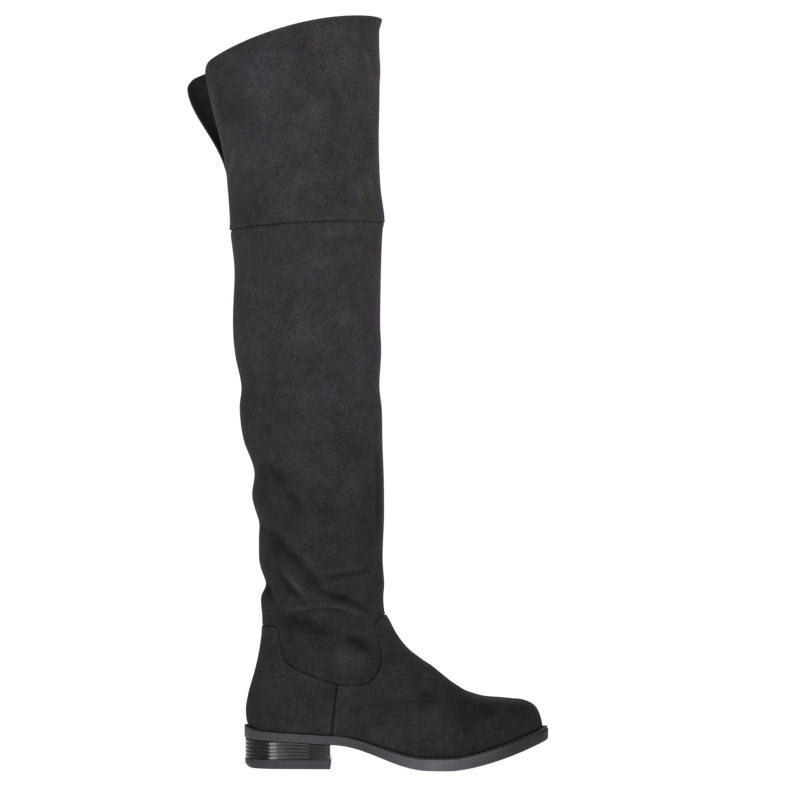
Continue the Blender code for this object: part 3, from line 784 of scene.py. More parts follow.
def hem(distance):
    """How far a folded edge falls away at a distance from its end, with its seam dent."""
    fall = max(1 - distance / HEM_ROLL, 0.0)
    roll = HEM_ROLL * (1 - math.sqrt(max(1 - fall * fall, 0.0)))
    dent = bell(distance - STITCH_FROM_EDGE, 0.0008)
    return roll + HEM_DENT * dent


# Painted shade in the stitch dent and under the folded edge
def hem_painted_shade(distance):
    dent = bell(distance - STITCH_FROM_EDGE, 0.0010)
    return -0.14 * dent - 0.10 * bell(distance, 0.0008)


class Shell:
    """A wall between an outer face that is shaped and an inner one that is plain."""

    def __init__(self, name, facing_rows=0, facing_columns=0):
        self.name, self.bm = name, bmesh.new()
        self.facing = (facing_rows, facing_columns)
        self.outer = self.bm.verts.layers.float.new("outer")
        # Per-corner tone, multiplied into the colour: painted shade and painted highlight
        self.tone = self.bm.verts.layers.float.new("tone")

    def grid(self, rows, depths, inner_depths, shape):
        """shape(column, row, point) gives the height over the form, and the tone."""
        fronts, backs = [], []
        for i, stations in enumerate(rows):
            front, back = [], []
            toe = stations[0] >= TOE_END
            for j, (column, station) in enumerate(zip(COLUMNS, stations)):
                point = skin(column, station)
                whole = station <= FOOT_START and turn_at(0.0, station) == 0.0
                last = j == len(COLUMNS) - 1
                meets = last and whole and (front[0].co - BACK - point).length < 2e-3
                if (toe and j) or meets:
                    front.append(front[0])
                    back.append(back[0])
                    continue
                normal = Vector((1, 0, 0)) if toe else outward(column, station)
                if station >= FOOT_START and column in (0.0, 2.0):
                    normal.z = 0.0
                    normal.normalize()
                height, tone = shape(j, i, point)
                sunk = inner_depths[i] + max(-height - SPARE_WALL, 0.0)
                a = self.bm.verts.new(point + normal * (height - depths[i]) + BACK)
                b = self.bm.verts.new(point - normal * sunk + BACK)
                a[self.outer], a[self.tone] = 1.0, tone
                front.append(a)
                back.append(b)
            fronts.append(front)
            backs.append(back)
        self.join(fronts, backs)

    def join(self, fronts, backs):
        """Faces on both sheets and round the edges, the lining's outermost in suede."""
        bm = self.bm
        rows, columns = self.facing
        for grid in (fronts, backs):
            for i, (upper, lower) in enumerate(zip(grid, grid[1:])):
                last = len(upper) - 1
                split = upper[0] is not upper[-1]
                for j in range(last):
                    faced = i < rows or (split and min(j, last - 1 - j) < columns)
                    index = 0 if grid is fronts or faced else 1
                    face(bm, (upper[j], upper[j + 1], lower[j + 1], lower[j]), index)
        for i in (0, -1):
            for j in range(len(fronts[i]) - 1):
                if fronts[i][j] is not fronts[i][j + 1]:
                    face(bm, (fronts[i][j], fronts[i][j + 1], backs[i][j + 1], backs[i][j]))
        for i in range(len(fronts) - 1):
            upper, lower = fronts[i], fronts[i + 1]
            if upper[0] is upper[-1] and lower[0] is lower[-1]:
                continue
            for j in (0, -1):
                face(bm, (upper[j], lower[j], backs[i + 1][j], backs[i][j]))
        bmesh.ops.recalc_face_normals(bm, faces=bm.faces)

    def finish(self, *materials):
        return finish_mesh(self.name, self.bm, materials)


def placed(name, data):
    """A new object in the scene."""
    obj = bpy.data.objects.new(name, data)
    bpy.context.scene.collection.objects.link(obj)
    return obj


def mesh_object(name, bm, materials):
    mesh = bpy.data.meshes.new(name)
    bm.to_mesh(mesh)
    bm.free()
    for made_of in materials:
        mesh.materials.append(made_of)
    return placed(name, mesh)


def finish_mesh(name, bm, materials, smooth=40):
    """A piece of the boot, smooth but for edges sharper than an angle in degrees."""
    obj = mesh_object(name, bm, materials)
    obj.data.shade_smooth()
    obj.data.set_sharp_from_angle(angle=math.radians(smooth))
    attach(obj, "root")
    return obj


def closed(name, bm, made_of, smooth=40):
    """A closed piece whose corners were placed from the back of the sole."""
    bmesh.ops.recalc_face_normals(bm, faces=bm.faces)
    for corner in bm.verts:
        corner.co += BACK
    return finish_mesh(name, bm, [made_of], smooth)


# Materials

NOISE_REACH = (0.3, 0.7)


class Shader:
    """A Principled material and short ways to add nodes to it."""

    def __init__(self, name, **values):
        self.material = bpy.data.materials.new(name)
        self.material.use_nodes = True
        self.tree = self.material.node_tree
        self.bsdf = self.tree.nodes["Principled BSDF"]
        for socket, value in values.items():
            self.bsdf.inputs[socket.replace("_", " ")].default_value = value
        self.place = self.node("ShaderNodeTexCoord").outputs["Object"]

    def node(self, kind, feeds=(), **settings):
        """A new node. Feeds pairs an input with a value or with another's output."""
        made = self.tree.nodes.new(kind)
        for key, value in settings.items():
            setattr(made, key, value)
        for socket, value in feeds:
            self.feed(made.inputs[socket], value)
        return made

    def feed(self, socket, value):
        if isinstance(value, bpy.types.NodeSocket):
            self.tree.links.new(value, socket)
        elif socket.type == "RGBA":
            socket.default_value = (*value, 1.0)
        else:
            socket.default_value = value

    def shade(self, socket, value):
        self.feed(self.bsdf.inputs[socket], value)

    def noise(self, scale, detail=2.0, roughness=0.5, stretch=None):
        place = self.place
        if stretch:
            mapping = self.node("ShaderNodeMapping", (("Vector", place), ("Scale", stretch)))
            place = mapping.outputs["Vector"]
        feeds = zip(("Vector", "Scale", "Detail", "Roughness"), (place, scale, detail, roughness))
        return self.node("ShaderNodeTexNoise", feeds).outputs["Fac"]

    def ramp(self, source, low, high):
        """Colours between two stops, each given as a place and a colour."""
        made = self.node("ShaderNodeValToRGB", [("Fac", source)])
        for element, (place, colour) in zip(made.color_ramp.elements, (low, high)):
            element.position, element.color = place, (*colour, 1.0)
        return made.outputs["Color"]

    def range(self, source, low, high, to_low, to_high):
        feeds = zip(("Value", "From Min", "From Max", "To Min", "To Max"),
                    (source, low, high, to_low, to_high))
        return self.node("ShaderNodeMapRange", feeds).outputs["Result"]

    def vary(self, source, to_low, to_high):
        """A noise, which mostly stays within its reach, brought to other limits."""
        return self.range(source, *NOISE_REACH, to_low, to_high)

    def math(self, operation, *values):
        return self.node("ShaderNodeMath", enumerate(values), operation=operation).outputs[0]

    def mix(self, factor, a, b):
        feeds = ((0, factor), (6, a), (7, b))
        return self.node("ShaderNodeMix", feeds, data_type="RGBA").outputs[2]

    def scale_colour(self, colour, factor):
        feeds = ((0, colour), ("Scale", factor))
        return self.node("ShaderNodeVectorMath", feeds, operation="SCALE").outputs["Vector"]

    def tone(self):
        return self.node("ShaderNodeAttribute", attribute_name="tone").outputs["Fac"]

    def bump(self, height, strength, distance, *onto):
        feeds = zip(("Height", "Strength", "Distance", "Normal"),
                    (height, strength, distance, *onto))
        return self.node("ShaderNodeBump", feeds).outputs["Normal"]


def suede(name, shade, patches):
    """Black faux suede: short nap in brushed patches, with a dull sheen."""
    s = Shader(name, Roughness=0.92, Specular_IOR_Level=0.12, Sheen_Weight=0.05,
               Sheen_Roughness=0.45, Sheen_Tint=(0.80, 0.76, 0.82, 1.0))
    broad = s.noise(34.0, 3.0, 0.55, stretch=(1.0, 1.0, 0.75))
    clouds = s.noise(95.0, 3.0, 0.6)
    hue = s.noise(21.0, 2.0, 0.5, stretch=(1.0, 1.0, 0.8))
    nap = s.noise(760.0, 2.0, 0.7)
    fibre = s.noise(2100.0, 2.0, 0.7, stretch=(1.0, 1.0, 0.45))
    warm = tuple(c * shade for c in (0.0278, 0.0242, 0.0248))
    cool = tuple(c * shade for c in (0.0250, 0.0238, 0.0276))
    # The tone attribute's painted shade and painted highlight multiply the colour
    factor = s.math("ADD", 1.0, s.tone())
    for pattern, swing in ((broad, patches), (clouds, 0.9 * patches), (nap, 0.42), (fibre, 0.44)):
        factor = s.math("MULTIPLY", factor, s.vary(pattern, 1 - swing, 1 + swing))
    colour = s.ramp(hue, (0.36, warm), (0.64, cool))
    s.shade("Base Color", s.scale_colour(colour, factor))
    s.shade("Roughness", s.vary(broad, 0.98, 0.86))
    s.shade("Normal", s.bump(fibre, 0.35, 0.00025, s.bump(nap, 0.45, 0.0006)))
    return s.material


def cloth(name, roughness, specular, grain_scale, dark, light):
    """Fine dark cloth, with its grain."""
    s = Shader(name, Roughness=roughness, Specular_IOR_Level=specular)
    grain = s.noise(grain_scale)
    low, high = NOISE_REACH
    s.shade("Base Color", s.ramp(grain, (low, dark), (high, light)))
    return s, grain


def lining():
    """Thin dark knitted lining."""
    s, _ = cloth("knit_lining", 0.85, 0.2, 900.0,
                 (0.0200, 0.0188, 0.0222), (0.0345, 0.0325, 0.0372))
    feeds = (("Vector", s.place), ("Scale", 420.0), ("Distortion", 1.2))
    weave = s.node("ShaderNodeTexWave", feeds, wave_type="BANDS", bands_direction="Z")
    s.shade("Normal", s.bump(weave.outputs["Fac"], 0.25, 0.0002))
    return s.material


def board():
    """Insole covered in dark padded cloth."""
    s, grain = cloth("insole_cloth", 0.8, 0.25, 1100.0,
                     (0.014, 0.013, 0.017), (0.026, 0.024, 0.029))
    s.shade("Normal", s.bump(grain, 0.3, 0.0002))
    return s.material


def rubber(name, colour):
    """Moulded rubber, dull, with faint mould marks and specks, and the painted highlights and
    painted shade of its tone where a piece has one.
    """
    s = Shader(name, Specular_IOR_Level=0.30)
    mottle = s.noise(70.0, 4.0, 0.6)
    speck = s.noise(1500.0, 2.0, 0.6)
    dark, light = (tuple(c * k for c in colour) for k in (0.82, 1.18))
    low, high = NOISE_REACH
    base = s.ramp(mottle, (low, dark), (high, light))
    # Specks, plus the tone attribute's painted highlights and painted shade
    colour_weight = s.math("ADD", s.vary(speck, 0.88, 1.12), s.tone())
    s.shade("Base Color", s.scale_colour(base, colour_weight))
    s.shade("Roughness", s.vary(mottle, 0.48, 0.66))
    s.shade("Normal", s.bump(speck, 0.25, 0.00015))
    return s.material


def stack_material():
    """Polished dark heel stack with fine grain along its layers, and light flecks."""
    s = Shader("heel_stack", Specular_IOR_Level=0.16, Coat_Weight=1.0, Coat_Roughness=0.14)
    grain = s.noise(420.0, 3.0, 0.6, stretch=(1.0, 1.0, 7.0))
    speck = s.noise(1300.0, 2.0, 0.75)
    low, high = NOISE_REACH
    colour = s.ramp(grain, (low, (0.0022, 0.0020, 0.0022)), (high, (0.0054, 0.0050, 0.0052)))
    flecks = s.range(speck, 0.57, 0.71, 0.0, 0.42)
    s.shade("Base Color", s.mix(flecks, colour, (0.075, 0.073, 0.073)))
    s.shade("Roughness", s.vary(grain, 0.16, 0.30))
    s.shade("Normal", s.bump(grain, 0.22, 0.0002))
    return s.material


def thread(name, light):
    s = Shader(name, Roughness=0.55, Specular_IOR_Level=0.35)
    dark, bright = (tuple(light * k * c for c in (1.0, 0.96, 1.02)) for k in (0.65, 1.35))
    low, high = NOISE_REACH
    s.shade("Base Color", s.ramp(s.noise(2600.0, 1.0), (low, dark), (high, bright)))
    return s.material


LEG_SUEDE = suede("leg_suede", 1.00, 0.18)
# The foot is the same suede at 0.71 of the leg's colour, as painted shade of the light falling
# off towards the floor
FOOT_SUEDE = suede("foot_suede", 0.71, 0.22)
LINING = lining()
RAND = rubber("rand_rubber", (0.036, 0.035, 0.041))
LIFT = rubber("lift_rubber", (0.030, 0.029, 0.035))
STACK = stack_material()
WELT = rubber("welt_dark_rubber", (0.016, 0.016, 0.019))
LEG_THREAD = thread("leg_thread", 0.060)
FOOT_THREAD = thread("foot_thread", 0.034)
BOARD = board()


# The leg and the foot

ANKLE = [crossing(c, above_ankle_seam) for c in COLUMNS]
KNEE = [crossing(c, above_knee_seam) for c in COLUMNS]
COLLAR = [crossing(c, above_collar) for c in COLUMNS]


def leg_relief(point):
    """Creases and softness of the leg, calm at the collar, and the creases' tone of painted shade
    and painted highlight.
    """
    height, tone = crease(point)
    return height + softness(point) * smooth_step((CALM_FROM - point.z) / CALM_FADE), tone


def build_cuff():
    slit = level(crossing(1.0, lambda c, s: skin(c, s).z > SLIT_HEIGHT))
    top = [seam_below(COLLAR, d) for d in HEM_STEPS]
    bottom = [seam_below(KNEE, -d) for d in reversed(HEM_STEPS)]
    rows = top + between(top[-1], slit, CUFF_FLAP_ROWS) + [slit]
    rows += between(slit, bottom[0], CUFF_BODY_ROWS) + bottom
    last = len(rows) - 1

    def shape(j, i, point):
        height, tone = leg_relief(point)
        if i < len(HEM_STEPS):
            height -= COLLAR_HEM * hem(HEM_STEPS[i])
            tone += COLLAR_HEM_PAINTED_SHADE * hem_painted_shade(HEM_STEPS[i])
        if last - i < len(HEM_STEPS):
            distance = HEM_STEPS[last - i]
            swell = smooth_step(distance / 0.002) * (1 - smooth_step(distance / 0.006))
            height += KNEE_SWELL * swell - hem(distance)
            tone += hem_painted_shade(distance)
        return height, tone

    shell = Shell("cuff_suede", len(HEM_STEPS) + 3, 4)
    shell.grid(rows, [0.0] * len(rows), [WALL] * len(rows), shape)
    piece = shell.finish(LEG_SUEDE, LINING)
    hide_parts("thigh_cuff")


def build_shaft():
    top = [seam_below(KNEE, d) for d in (-LAP, -LAP / 2, *TUCK_STEPS)]
    foot = [seam_below(ANKLE, -d) for d in (*reversed(TUCK_STEPS), -LAP / 2, -LAP)]
    rows = top + gathered(top[-1], foot[0], SHAFT_ROWS, 0.83, 0.075) + foot
    sunk = [WALL + GAP] * 3 + [1.5 * SHAFT_INSET, SHAFT_INSET]
    depths = sunk + [SHAFT_INSET] * (len(rows) - 2 * len(sunk)) + sunk[::-1]
    last = len(rows) - 1

    def shape(j, i, point):
        near = min(i, last - i)
        # Rows tucked under the cuff and into the foot are painted dark, and the suede beside both
        # seams gets painted shade
        if near < 3:
            return 0.0, -0.4
        height, tone = leg_relief(point)
        tone -= 0.35 * (1 - smooth_step((near - 2) / 3))
        # Painted shade: the leg grows darker towards the ankle, as the light falls off downward
        tone -= ANKLE_SHADE * smooth_step((0.45 - point.z) / 0.29)
        return height * smooth_step((near - 2) / 5), tone

    shell = Shell("shaft_suede")
    shell.grid(rows, depths, [SHAFT_LINING] * len(rows), shape)
    piece = shell.finish(LEG_SUEDE, LINING)
    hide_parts("shaft")


def in_side_view(along, height):
    return Vector((along * SOLE_LENGTH, 0, height * INSTEP_HEIGHT))


SEAM_TOP, SEAM_FOOT = in_side_view(*SIDE_SEAM_TOP), in_side_view(*SIDE_SEAM_FOOT)
AHEAD = Vector((SEAM_TOP.z - SEAM_FOOT.z, 0, SEAM_FOOT.x - SEAM_TOP.x)).normalized()


def ahead_of_seam(point):
    return (point - SEAM_TOP).dot(AHEAD)


def vamp_lift(distance):
    """How far the vamp's folded edge stands over the counter, ahead of the seam."""
    if distance <= 0:
        return 0.0
    fall = max(1 - distance / VAMP_ROLL, 0.0)
    lift = VAMP_STEP * (1 - smooth_step(distance / VAMP_FADE)) + VAMP_EDGE * bell(distance, 0.004)
    return lift * math.sqrt(max(1 - fall * fall, 0.0))


def foot_rows():
    """Stations from heel to toe, spaced by how far the section's low end moves."""
    fine = [FOOT_START + (TOE_END - FOOT_START) * i / TOE_PLACES for i in range(TOE_PLACES + 1)]
    passed = [s - FOOT_START + section(s)[0] / 0.012 for s in fine]
    return [fine[k] for k in even_steps(passed, FOOT_ROWS)] + [TOE_END]


def build_foot():
    top = [seam_below(ANKLE, d) for d in HEM_STEPS]
    heel = level(FOOT_START)
    rows = top + between(top[-1], heel, HEEL_ROWS) + [heel]
    rows += [level(station) for station in foot_rows()]

    def shape(j, i, point):
        height, tone = crease(point)
        if i < len(HEM_STEPS):
            height -= hem(HEM_STEPS[i])
            tone += hem_painted_shade(HEM_STEPS[i])
        # Painted shade towards the toe and at its tip
        tone -= TOE_DARK * smooth_step((point.x - 0.150) / 0.065)
        tone -= TIP_DARK * smooth_step((point.x - 0.225) / 0.03)
        # Painted shade along the foot's lower edge, where it meets the sole
        if i > len(HEM_STEPS) + HEEL_ROWS:
            edge = min(COLUMNS[j], 2 - COLUMNS[j])
            tone -= 0.25 * bell(edge, 0.05)
            height *= smooth_step(edge / 0.1)
        return height, tone

    shell = Shell("foot_suede")
    shell.grid(rows, [0.0] * len(rows), [WALL] * len(rows), shape)
    bm, outer = shell.bm, shell.outer
    for shift in SIDE_CUTS:
        parts = [*bm.verts, *bm.edges, *bm.faces]
        bmesh.ops.bisect_plane(bm, geom=parts, plane_co=SEAM_TOP + BACK + AHEAD * shift,
                               plane_no=AHEAD, dist=1e-6)
    bm.normal_update()
    moves = []
    for corner in bm.verts:
        if corner[outer] < 0.5:
            continue
        distance = ahead_of_seam(corner.co - BACK)
        # Painted shade in the stitch dent and a painted shadow line just behind the vamp's edge
        # where it laps over the counter
        seam = bell(distance - SIDE_DENT, 0.0008)
        corner[shell.tone] -= 0.10 * seam + 0.95 * bell(distance + 0.0002, 0.0009)
        faces = [f for f in corner.link_faces if all(v[outer] > 0.5 for v in f.verts)]
        normal = sum((f.normal for f in faces), Vector())
        if len(faces) < len(corner.link_faces) and corner.co.z < 0.06:
            normal.z = 0.0
        if normal.length > 1e-9:
            moves.append((corner, normal.normalized() * (vamp_lift(distance) - 0.0002 * seam)))
    for corner, move in moves:
        corner.co += move
    piece = shell.finish(FOOT_SUEDE, LINING)
    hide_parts("upper")


# Stitches


def capsule(bm, centre, along, out, length):
    """One stitch: a small rounded bar whose ends dip into the surface."""
    side = out.cross(along).normalized()
    rings = []
    for share, size in ((-0.5, 0.35), (-0.36, 0.85), (0.0, 1.0), (0.36, 0.85), (0.5, 0.35)):
        sunk = STITCH_RADIUS * 1.3 * abs(2 * share) ** 3
        middle = centre + along * (length * share) - out * sunk
        rings.append([
            bm.verts.new(middle + (side * math.cos(a) + out * math.sin(a)) * STITCH_RADIUS * size)
            for a in (2 * math.pi * k / STITCH_SIDES for k in range(STITCH_SIDES))
        ])
    tube(bm, rings)


def tube(bm, rings):
    """Joins closed rings, each a list of corners, and closes both ends."""
    for low, high in zip(rings, rings[1:]):
        for k in range(len(low)):
            bm.faces.new((low[k - 1], low[k], high[k], high[k - 1]))
    bm.faces.new(rings[0][::-1])
    bm.faces.new(rings[-1])


def stitch_path(bm, path, pitch=STITCH_PITCH, length=STITCH_LENGTH):
    """Stitches at a pitch along a path of points with their outward directions."""
    travelled, wanted = 0.0, pitch / 2
    for (p, n), (q, m) in zip(path, path[1:]):
        span = (q - p).length
        while span > 0 and travelled + span >= wanted:
            t = (wanted - travelled) / span
            along, out = (q - p).normalized(), (n * (1 - t) + m * t).normalized()
            skew = STITCH_SKEW * math.sin(wanted * 5200.0)
            along = (along + out.cross(along) * skew).normalized()
            capsule(bm, p.lerp(q, t), along, out, length)
            wanted += pitch
        travelled += span


def seam_path(seam, distance, height, keep=lambda point: True):
    """Points along a seam, at a distance below it, cut into runs where keep says so."""
    runs, run = [], []
    count = len(COLUMNS) - 1
    for k in range(count * 4 + 1):
        j = min(k // 4, count - 1)
        t = k / 4 - j
        column = COLUMNS[j] * (1 - t) + COLUMNS[j + 1] * t
        station = further(column, seam[j] * (1 - t) + seam[j + 1] * t, distance)
        point, normal = skin(column, station), outward(column, station)
        if keep(point):
            run.append((point + normal * height(point) + BACK, normal))
        elif run:
            runs.append(run)
            run = []
    return runs + [run] if run else runs


def build_stitches():
    bm = bmesh.new()

    def on_leg(point):
        return leg_relief(point)[0] - LEG_STITCH_SINK

    for run in seam_path(KNEE, -STITCH_FROM_EDGE, on_leg):
        stitch_path(bm, run)
    for run in seam_path(COLLAR, COLLAR_STITCH_FROM_EDGE, on_leg):
        stitch_path(bm, run, COLLAR_STITCH_PITCH, COLLAR_STITCH_LENGTH)
    sewn(bm, "leg_stitches", LEG_THREAD)
    bm = bmesh.new()

    def on_foot(point):
        return vamp_lift(ahead_of_seam(point)) + crease(point)[0] - FOOT_STITCH_SINK

    def on_counter(point):
        return ahead_of_seam(point) < -0.006 and point.z < 0.122

    for run in seam_path(ANKLE, STITCH_FROM_EDGE, on_foot):
        stitch_path(bm, run)
    for run in seam_path(ANKLE, SECOND_ROW, on_foot, on_counter):
        stitch_path(bm, run)
    for side in (-1, 1):
        path = []
        for k in range(41):
            target = SEAM_TOP.lerp(SEAM_FOOT, 0.06 + 0.9 * k / 40) + AHEAD * SIDE_STITCH_LINE
            point, normal = on_side(target.x, target.z, side)
            lift = vamp_lift(SIDE_STITCH_LINE) - SIDE_STITCH_SINK
            path.append((point + normal * lift + BACK, normal))
        stitch_path(bm, path)
    sewn(bm, "foot_stitches", FOOT_THREAD)


def sewn(bm, name, made_of):
    bmesh.ops.recalc_face_normals(bm, faces=bm.faces)
    finish_mesh(name, bm, [made_of])


def on_side(x, z, side):
    """The form's point and normal at x, z in the side view, found step by step."""
    column, station = 1 + side / 2, FOOT_START + 0.5
    for _ in range(60):
        point = skin(column, station)
        ex, ez = x - point.x, z - point.z
        if abs(ex) + abs(ez) < 1e-6:
            break
        a = (skin(column + 1e-3, station) - point) / 1e-3
        b = (skin(column, station + 1e-3) - point) / 1e-3
        det = a.x * b.z - a.z * b.x
        column += max(-0.05, min(0.05, (ex * b.z - ez * b.x) / det))
        station += max(-0.4, min(0.4, (a.x * ez - a.z * ex) / det))
        column = min(max(column, 0.52 + side / 2), 1.48 + side / 2)
        station = min(max(station, HEEL_START), TOE_END - 0.5)
    return skin(column, station), outward(column, station)


# Sole and heel


def rim_drop(x, inset):
    """The rand's top edge is rounded, more so round the toe."""
    radius = SOLE_EDGE + 0.0020 * smooth_step((x - 0.250) / 0.016)
    if inset >= radius:
        return 0.0
    return radius - math.sqrt(radius**2 - (radius - inset) ** 2)


def build_sole():
    bm = bmesh.new()
    tone = bm.verts.layers.float.new("tone")
    rings = []

    def add(inset, height):
        marks = (HEEL_LENGTH, TREAD_START, TREAD_END)
        places = spread(inset, SOLE_LENGTH - inset, SOLE_STEPS, marks)
        rings.append(ring(bm, places, sole_half, inset, height))

    for inset, rise in ((1.0, 0.0), (0.5, 0.18), (0.14, 0.52), (0.0, 1.0)):
        add(inset * TREAD_EDGE, lambda x: sole_bottom(x) + rise * TREAD_EDGE)
    add(0.0, lambda x: 0.45 * sole_bottom(x) + 0.55 * sole_top(x))
    for below in RIM_ROWS:
        add(0.0, lambda x: sole_top(x) - below)
    for inset in (0.0, 0.00025, 0.0006, 0.0011, 0.0018, 0.0026, 0.0036):
        add(inset, lambda x: sole_top(x) - rim_drop(x, inset))
    stack(bm, rings)
    for corner in bm.verts:
        x, z = corner.co.x, corner.co.z
        # Painted highlights where light grazes the ball and the rim's top, painted shade ahead of
        # the heel and at the toe
        rim = smooth_step((z - sole_top(x) + 0.0016) / 0.0008)
        painted_highlights = BALL_PAINTED_HIGHLIGHT * bell(x - 0.169, 0.034) + RIM_PAINTED_HIGHLIGHT * rim * bell(x - 0.205, 0.045)
        shade = WAIST_SHADE * smooth_step((x - 0.085) / 0.03)
        corner[tone] = painted_highlights - shade - TOE_SHADE * smooth_step((x - 0.212) / 0.03)
    piece = closed("sole_rubber", bm, RAND, 50)
    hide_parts("outsole")


def build_insole():
    bm = bmesh.new()
    rings = []
    for rounded, rise in ((0.0, 0.0), (0.0, 0.6), (0.0006, 0.9), (0.0018, 1.0)):
        inset = INSOLE_INSET + rounded
        places = spread(FEATHER_BACK + inset, FEATHER_TOE - inset, INSOLE_STEPS)
        rings.append(ring(bm, places, feather_half, inset,
                          lambda x: sole_top(x) + GAP + rise * INSOLE_THICKNESS))
    stack(bm, rings)
    piece = closed("insole_cloth", bm, BOARD)
    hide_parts("insole")


def welt_edge(half, end, inset):
    """Points of one edge of the welt, from the waist round the toe and back."""
    start = WELT_START * SOLE_LENGTH
    places = spread(2 * start - end + inset, end - inset, WELT_EDGE_STEPS)
    places = [start] + [x for x in places if x > start + 0.0005]
    loop = []
    for side in (-1, 1):
        for x in places if side < 0 else places[-2::-1]:
            loop.append(Vector((x, sole_centre(x) + side * half(x, side, inset), 0.0)))
    return loop


def evenly(loop, steps):
    """The loop again at even distances, and its length."""
    lengths = [0.0]
    for a, b in zip(loop, loop[1:]):
        lengths.append(lengths[-1] + (b - a).length)
    found, k = [], 0
    for i in range(steps + 1):
        wanted = lengths[-1] * i / steps
        while k < len(loop) - 2 and lengths[k + 1] < wanted:
            k += 1
        span = lengths[k + 1] - lengths[k]
        found.append(loop[k].lerp(loop[k + 1], (wanted - lengths[k]) / span))
    return found, lengths[-1]


def build_welt():
    """The strip with a notch at every pitch, like a row of short rungs."""
    bm = bmesh.new()
    outer_line, length = evenly(welt_edge(sole_half, SOLE_LENGTH, WELT_EDGE), WELT_STEPS)
    inner_line, _ = evenly(welt_edge(feather_half, FEATHER_TOE, -WELT_CLEARANCE), WELT_STEPS)
    count = round(length / NOTCH_PITCH)
    shares = [(k + share) / count for k in range(count) for share in NOTCH_SHARES] + [1.0]

    def at(line, share):
        place = share * WELT_STEPS
        k = min(int(place), WELT_STEPS - 1)
        return line[k].lerp(line[k + 1], place - k)

    rings = []
    for i, share in enumerate(shares):
        notched = i % len(NOTCH_SHARES) in NOTCHED
        inner, outer = at(inner_line, share), at(outer_line, share)
        taper = smooth_step(min(share, 1 - share) * length / 0.022)
        drawn = 0.12 + 0.4 * (1 - taper)
        tip = smooth_step((outer.x - 0.250) / 0.010)
        low = 0.5 + 0.5 * tip if notched else 1.0
        outer = outer.lerp(inner, max(0.62 * (1 - tip), drawn) if notched else drawn)
        height = WELT_HEIGHT * (0.75 - 0.50 * tip) * low * (0.3 + 0.7 * taper)
        fill = height + 0.0009 * smooth_step((outer.x - 0.258) / 0.008)
        corners = []
        for point, rise in ((inner, 0.0), (outer, 0.0), (outer, height - 0.0003),
                            (outer.lerp(inner, 0.16), height), (inner, fill)):
            drop = rim_drop(point.x, WELT_EDGE) if point is outer else 0.0
            corners.append(bm.verts.new(
                (point.x, point.y, sole_top(point.x) - drop + GAP + rise)))
        rings.append(corners)
    tube(bm, rings)
    piece = closed("welt_rubber", bm, WELT, 30)
    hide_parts("welt")


def heel_half(x, side, inset):
    return sole_half(x, side, HEEL_INSET + inset)


def heel_ring(bm, inset, height):
    """One level of the heel; its breast runs back a little towards the inner side."""
    places = spread(HEEL_INSET + inset, HEEL_LENGTH - inset, HEEL_STEPS)
    sides = ring(bm, places, heel_half, inset, height)
    for corner in sides[1][1:]:
        corner.co.x -= BREAST_SHIFT * smooth_step((corner.co.x - HEEL_LENGTH + 0.014) / 0.012)
    return sides


def build_heel():
    bm = bmesh.new()
    bottom = LIFT_THICKNESS + GAP
    levels = [(0.0, 1.0)] + [((k + share) / STACK_LAYERS, inset)
                             for k in range(STACK_LAYERS) for share, inset in LAYER_ROWS]
    rings = [heel_ring(bm, inset * STACK_GROOVE,
                       lambda x: bottom + (sole_bottom(x) - GAP - bottom) * share)
             for share, inset in levels]
    stack(bm, rings)
    piece = closed("heel_stack", bm, STACK, 45)
    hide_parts("heel_block")

    def ground(x):
        return LIFT_BEVEL * max(1 - (x - HEEL_INSET) / LIFT_BEVEL_LENGTH, 0.0) ** 2

    bm = bmesh.new()
    edge = SOLE_EDGE / 2
    rounded = ((1.0, 0.0), (0.25, 0.25), (0.0, 1.0))
    rings = [heel_ring(bm, inset * edge, lambda x: ground(x) + rise * edge)
             for inset, rise in rounded]
    rings += [heel_ring(bm, inset * edge, lambda x: LIFT_THICKNESS - fall * edge)
              for inset, fall in rounded[::-1]]
    stack(bm, rings)
    piece = closed("heel_lift_rubber", bm, LIFT, 45)
    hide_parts("heel_lift")


# Floor, light and camera


def build_stage():
    """A white floor that glows a little, as a light table does."""
    white = Shader("studio_white", Base_Color=(0.36, 0.36, 0.36, 1.0), Roughness=0.9,
                   Specular_IOR_Level=0.1, Emission_Color=(1, 1, 1, 1), Emission_Strength=0.95)
    bm = bmesh.new()
    bmesh.ops.create_circle(bm, cap_ends=True, segments=96, radius=FLOOR_RADIUS)
    floor = mesh_object("floor", bm, [white.material])
    floor.location.z = -FLOOR_DROP


def area_light(name, place, aim, width, height, power):
    light = bpy.data.lights.new(name, "AREA")
    light.shape = "RECTANGLE"
    light.size, light.size_y, light.energy = width, height, power
    lamp = placed(name, light)
    lamp.location = place
    lamp.rotation_euler = (Vector(aim) - Vector(place)).to_track_quat("-Z", "Y").to_euler()


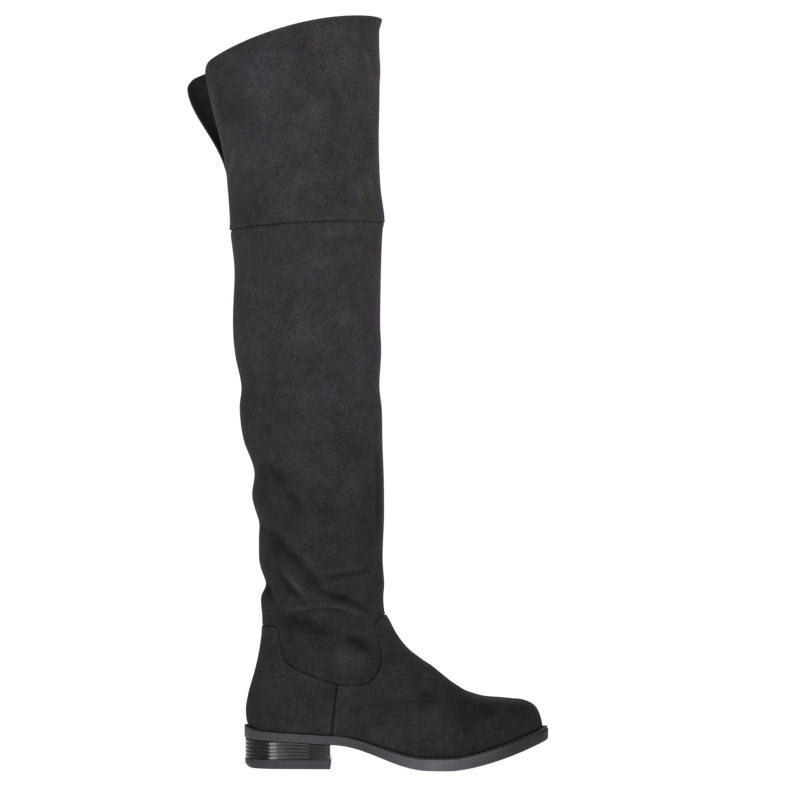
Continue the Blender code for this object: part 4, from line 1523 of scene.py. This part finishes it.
def build_light():
    """Four lamps, and a world that is white to the camera and weak as light."""
    world = bpy.data.worlds.new("studio")
    bpy.context.scene.world = world
    world.use_nodes = True
    tree = world.node_tree
    background = tree.nodes["Background"]
    background.inputs["Color"].default_value = (1.0, 1.0, 1.0, 1.0)
    seen = tree.nodes.new("ShaderNodeLightPath")
    strength = tree.nodes.new("ShaderNodeMapRange")
    strength.inputs["To Min"].default_value = WORLD_LIGHT
    strength.inputs["To Max"].default_value = WORLD_SEEN
    tree.links.new(seen.outputs["Is Camera Ray"], strength.inputs["Value"])
    tree.links.new(strength.outputs["Result"], background.inputs["Strength"])
    area_light("key", (-0.74, -2.45, 0.85), (0.0, 0.0, 0.42), 0.76, 1.4, 18.4)
    area_light("fill", (1.35, -2.2, 1.05), (0.0, 0.0, 0.46), 1.0, 1.3, 29.5)
    area_light("high", (-0.1, -1.6, 1.60), (0.0, 0.0, 0.60), 0.7, 0.6, 4.0)
    area_light("back", (0.5, 2.4, 1.8), (0.0, 0.0, 0.35), 1.4, 1.2, 22.0)


WORLD_LIGHT = 0.26
WORLD_SEEN = 1.05
FLOOR_RADIUS = 14.0
FLOOR_DROP = 0.0003
PHOTO_SIZE = 790
PHOTO_SCALE = 0.000888
SENSOR_WIDTH = 36.0
CAMERA_DISTANCE = 3.4
CAMERA_HEIGHT = 0.33
CAMERA_AZIMUTH = 3.0
VIEW_X = 0.134
VIEW_Z = 0.3299


def build_camera():
    camera = bpy.data.cameras.new("photo_camera")
    eye = placed("photo_camera", camera)
    frame_width = PHOTO_SIZE * PHOTO_SCALE
    camera.sensor_width = SENSOR_WIDTH
    camera.lens = SENSOR_WIDTH * CAMERA_DISTANCE / frame_width
    camera.shift_y = (VIEW_Z - CAMERA_HEIGHT) / frame_width
    camera.clip_end = 60.0
    turn = math.radians(CAMERA_AZIMUTH)
    away = Vector((math.sin(turn), -math.cos(turn), 0.0)) * CAMERA_DISTANCE
    eye.location = Vector((VIEW_X, 0.0, CAMERA_HEIGHT)) + BACK + away
    eye.rotation_euler = (math.pi / 2, 0.0, turn)
    bpy.context.scene.camera = eye


build_cuff()
build_shaft()
build_foot()
build_stitches()
build_sole()
build_insole()
build_welt()
build_heel()
build_stage()
build_light()
build_camera()
bpy.context.scene.view_settings.view_transform = "Standard"
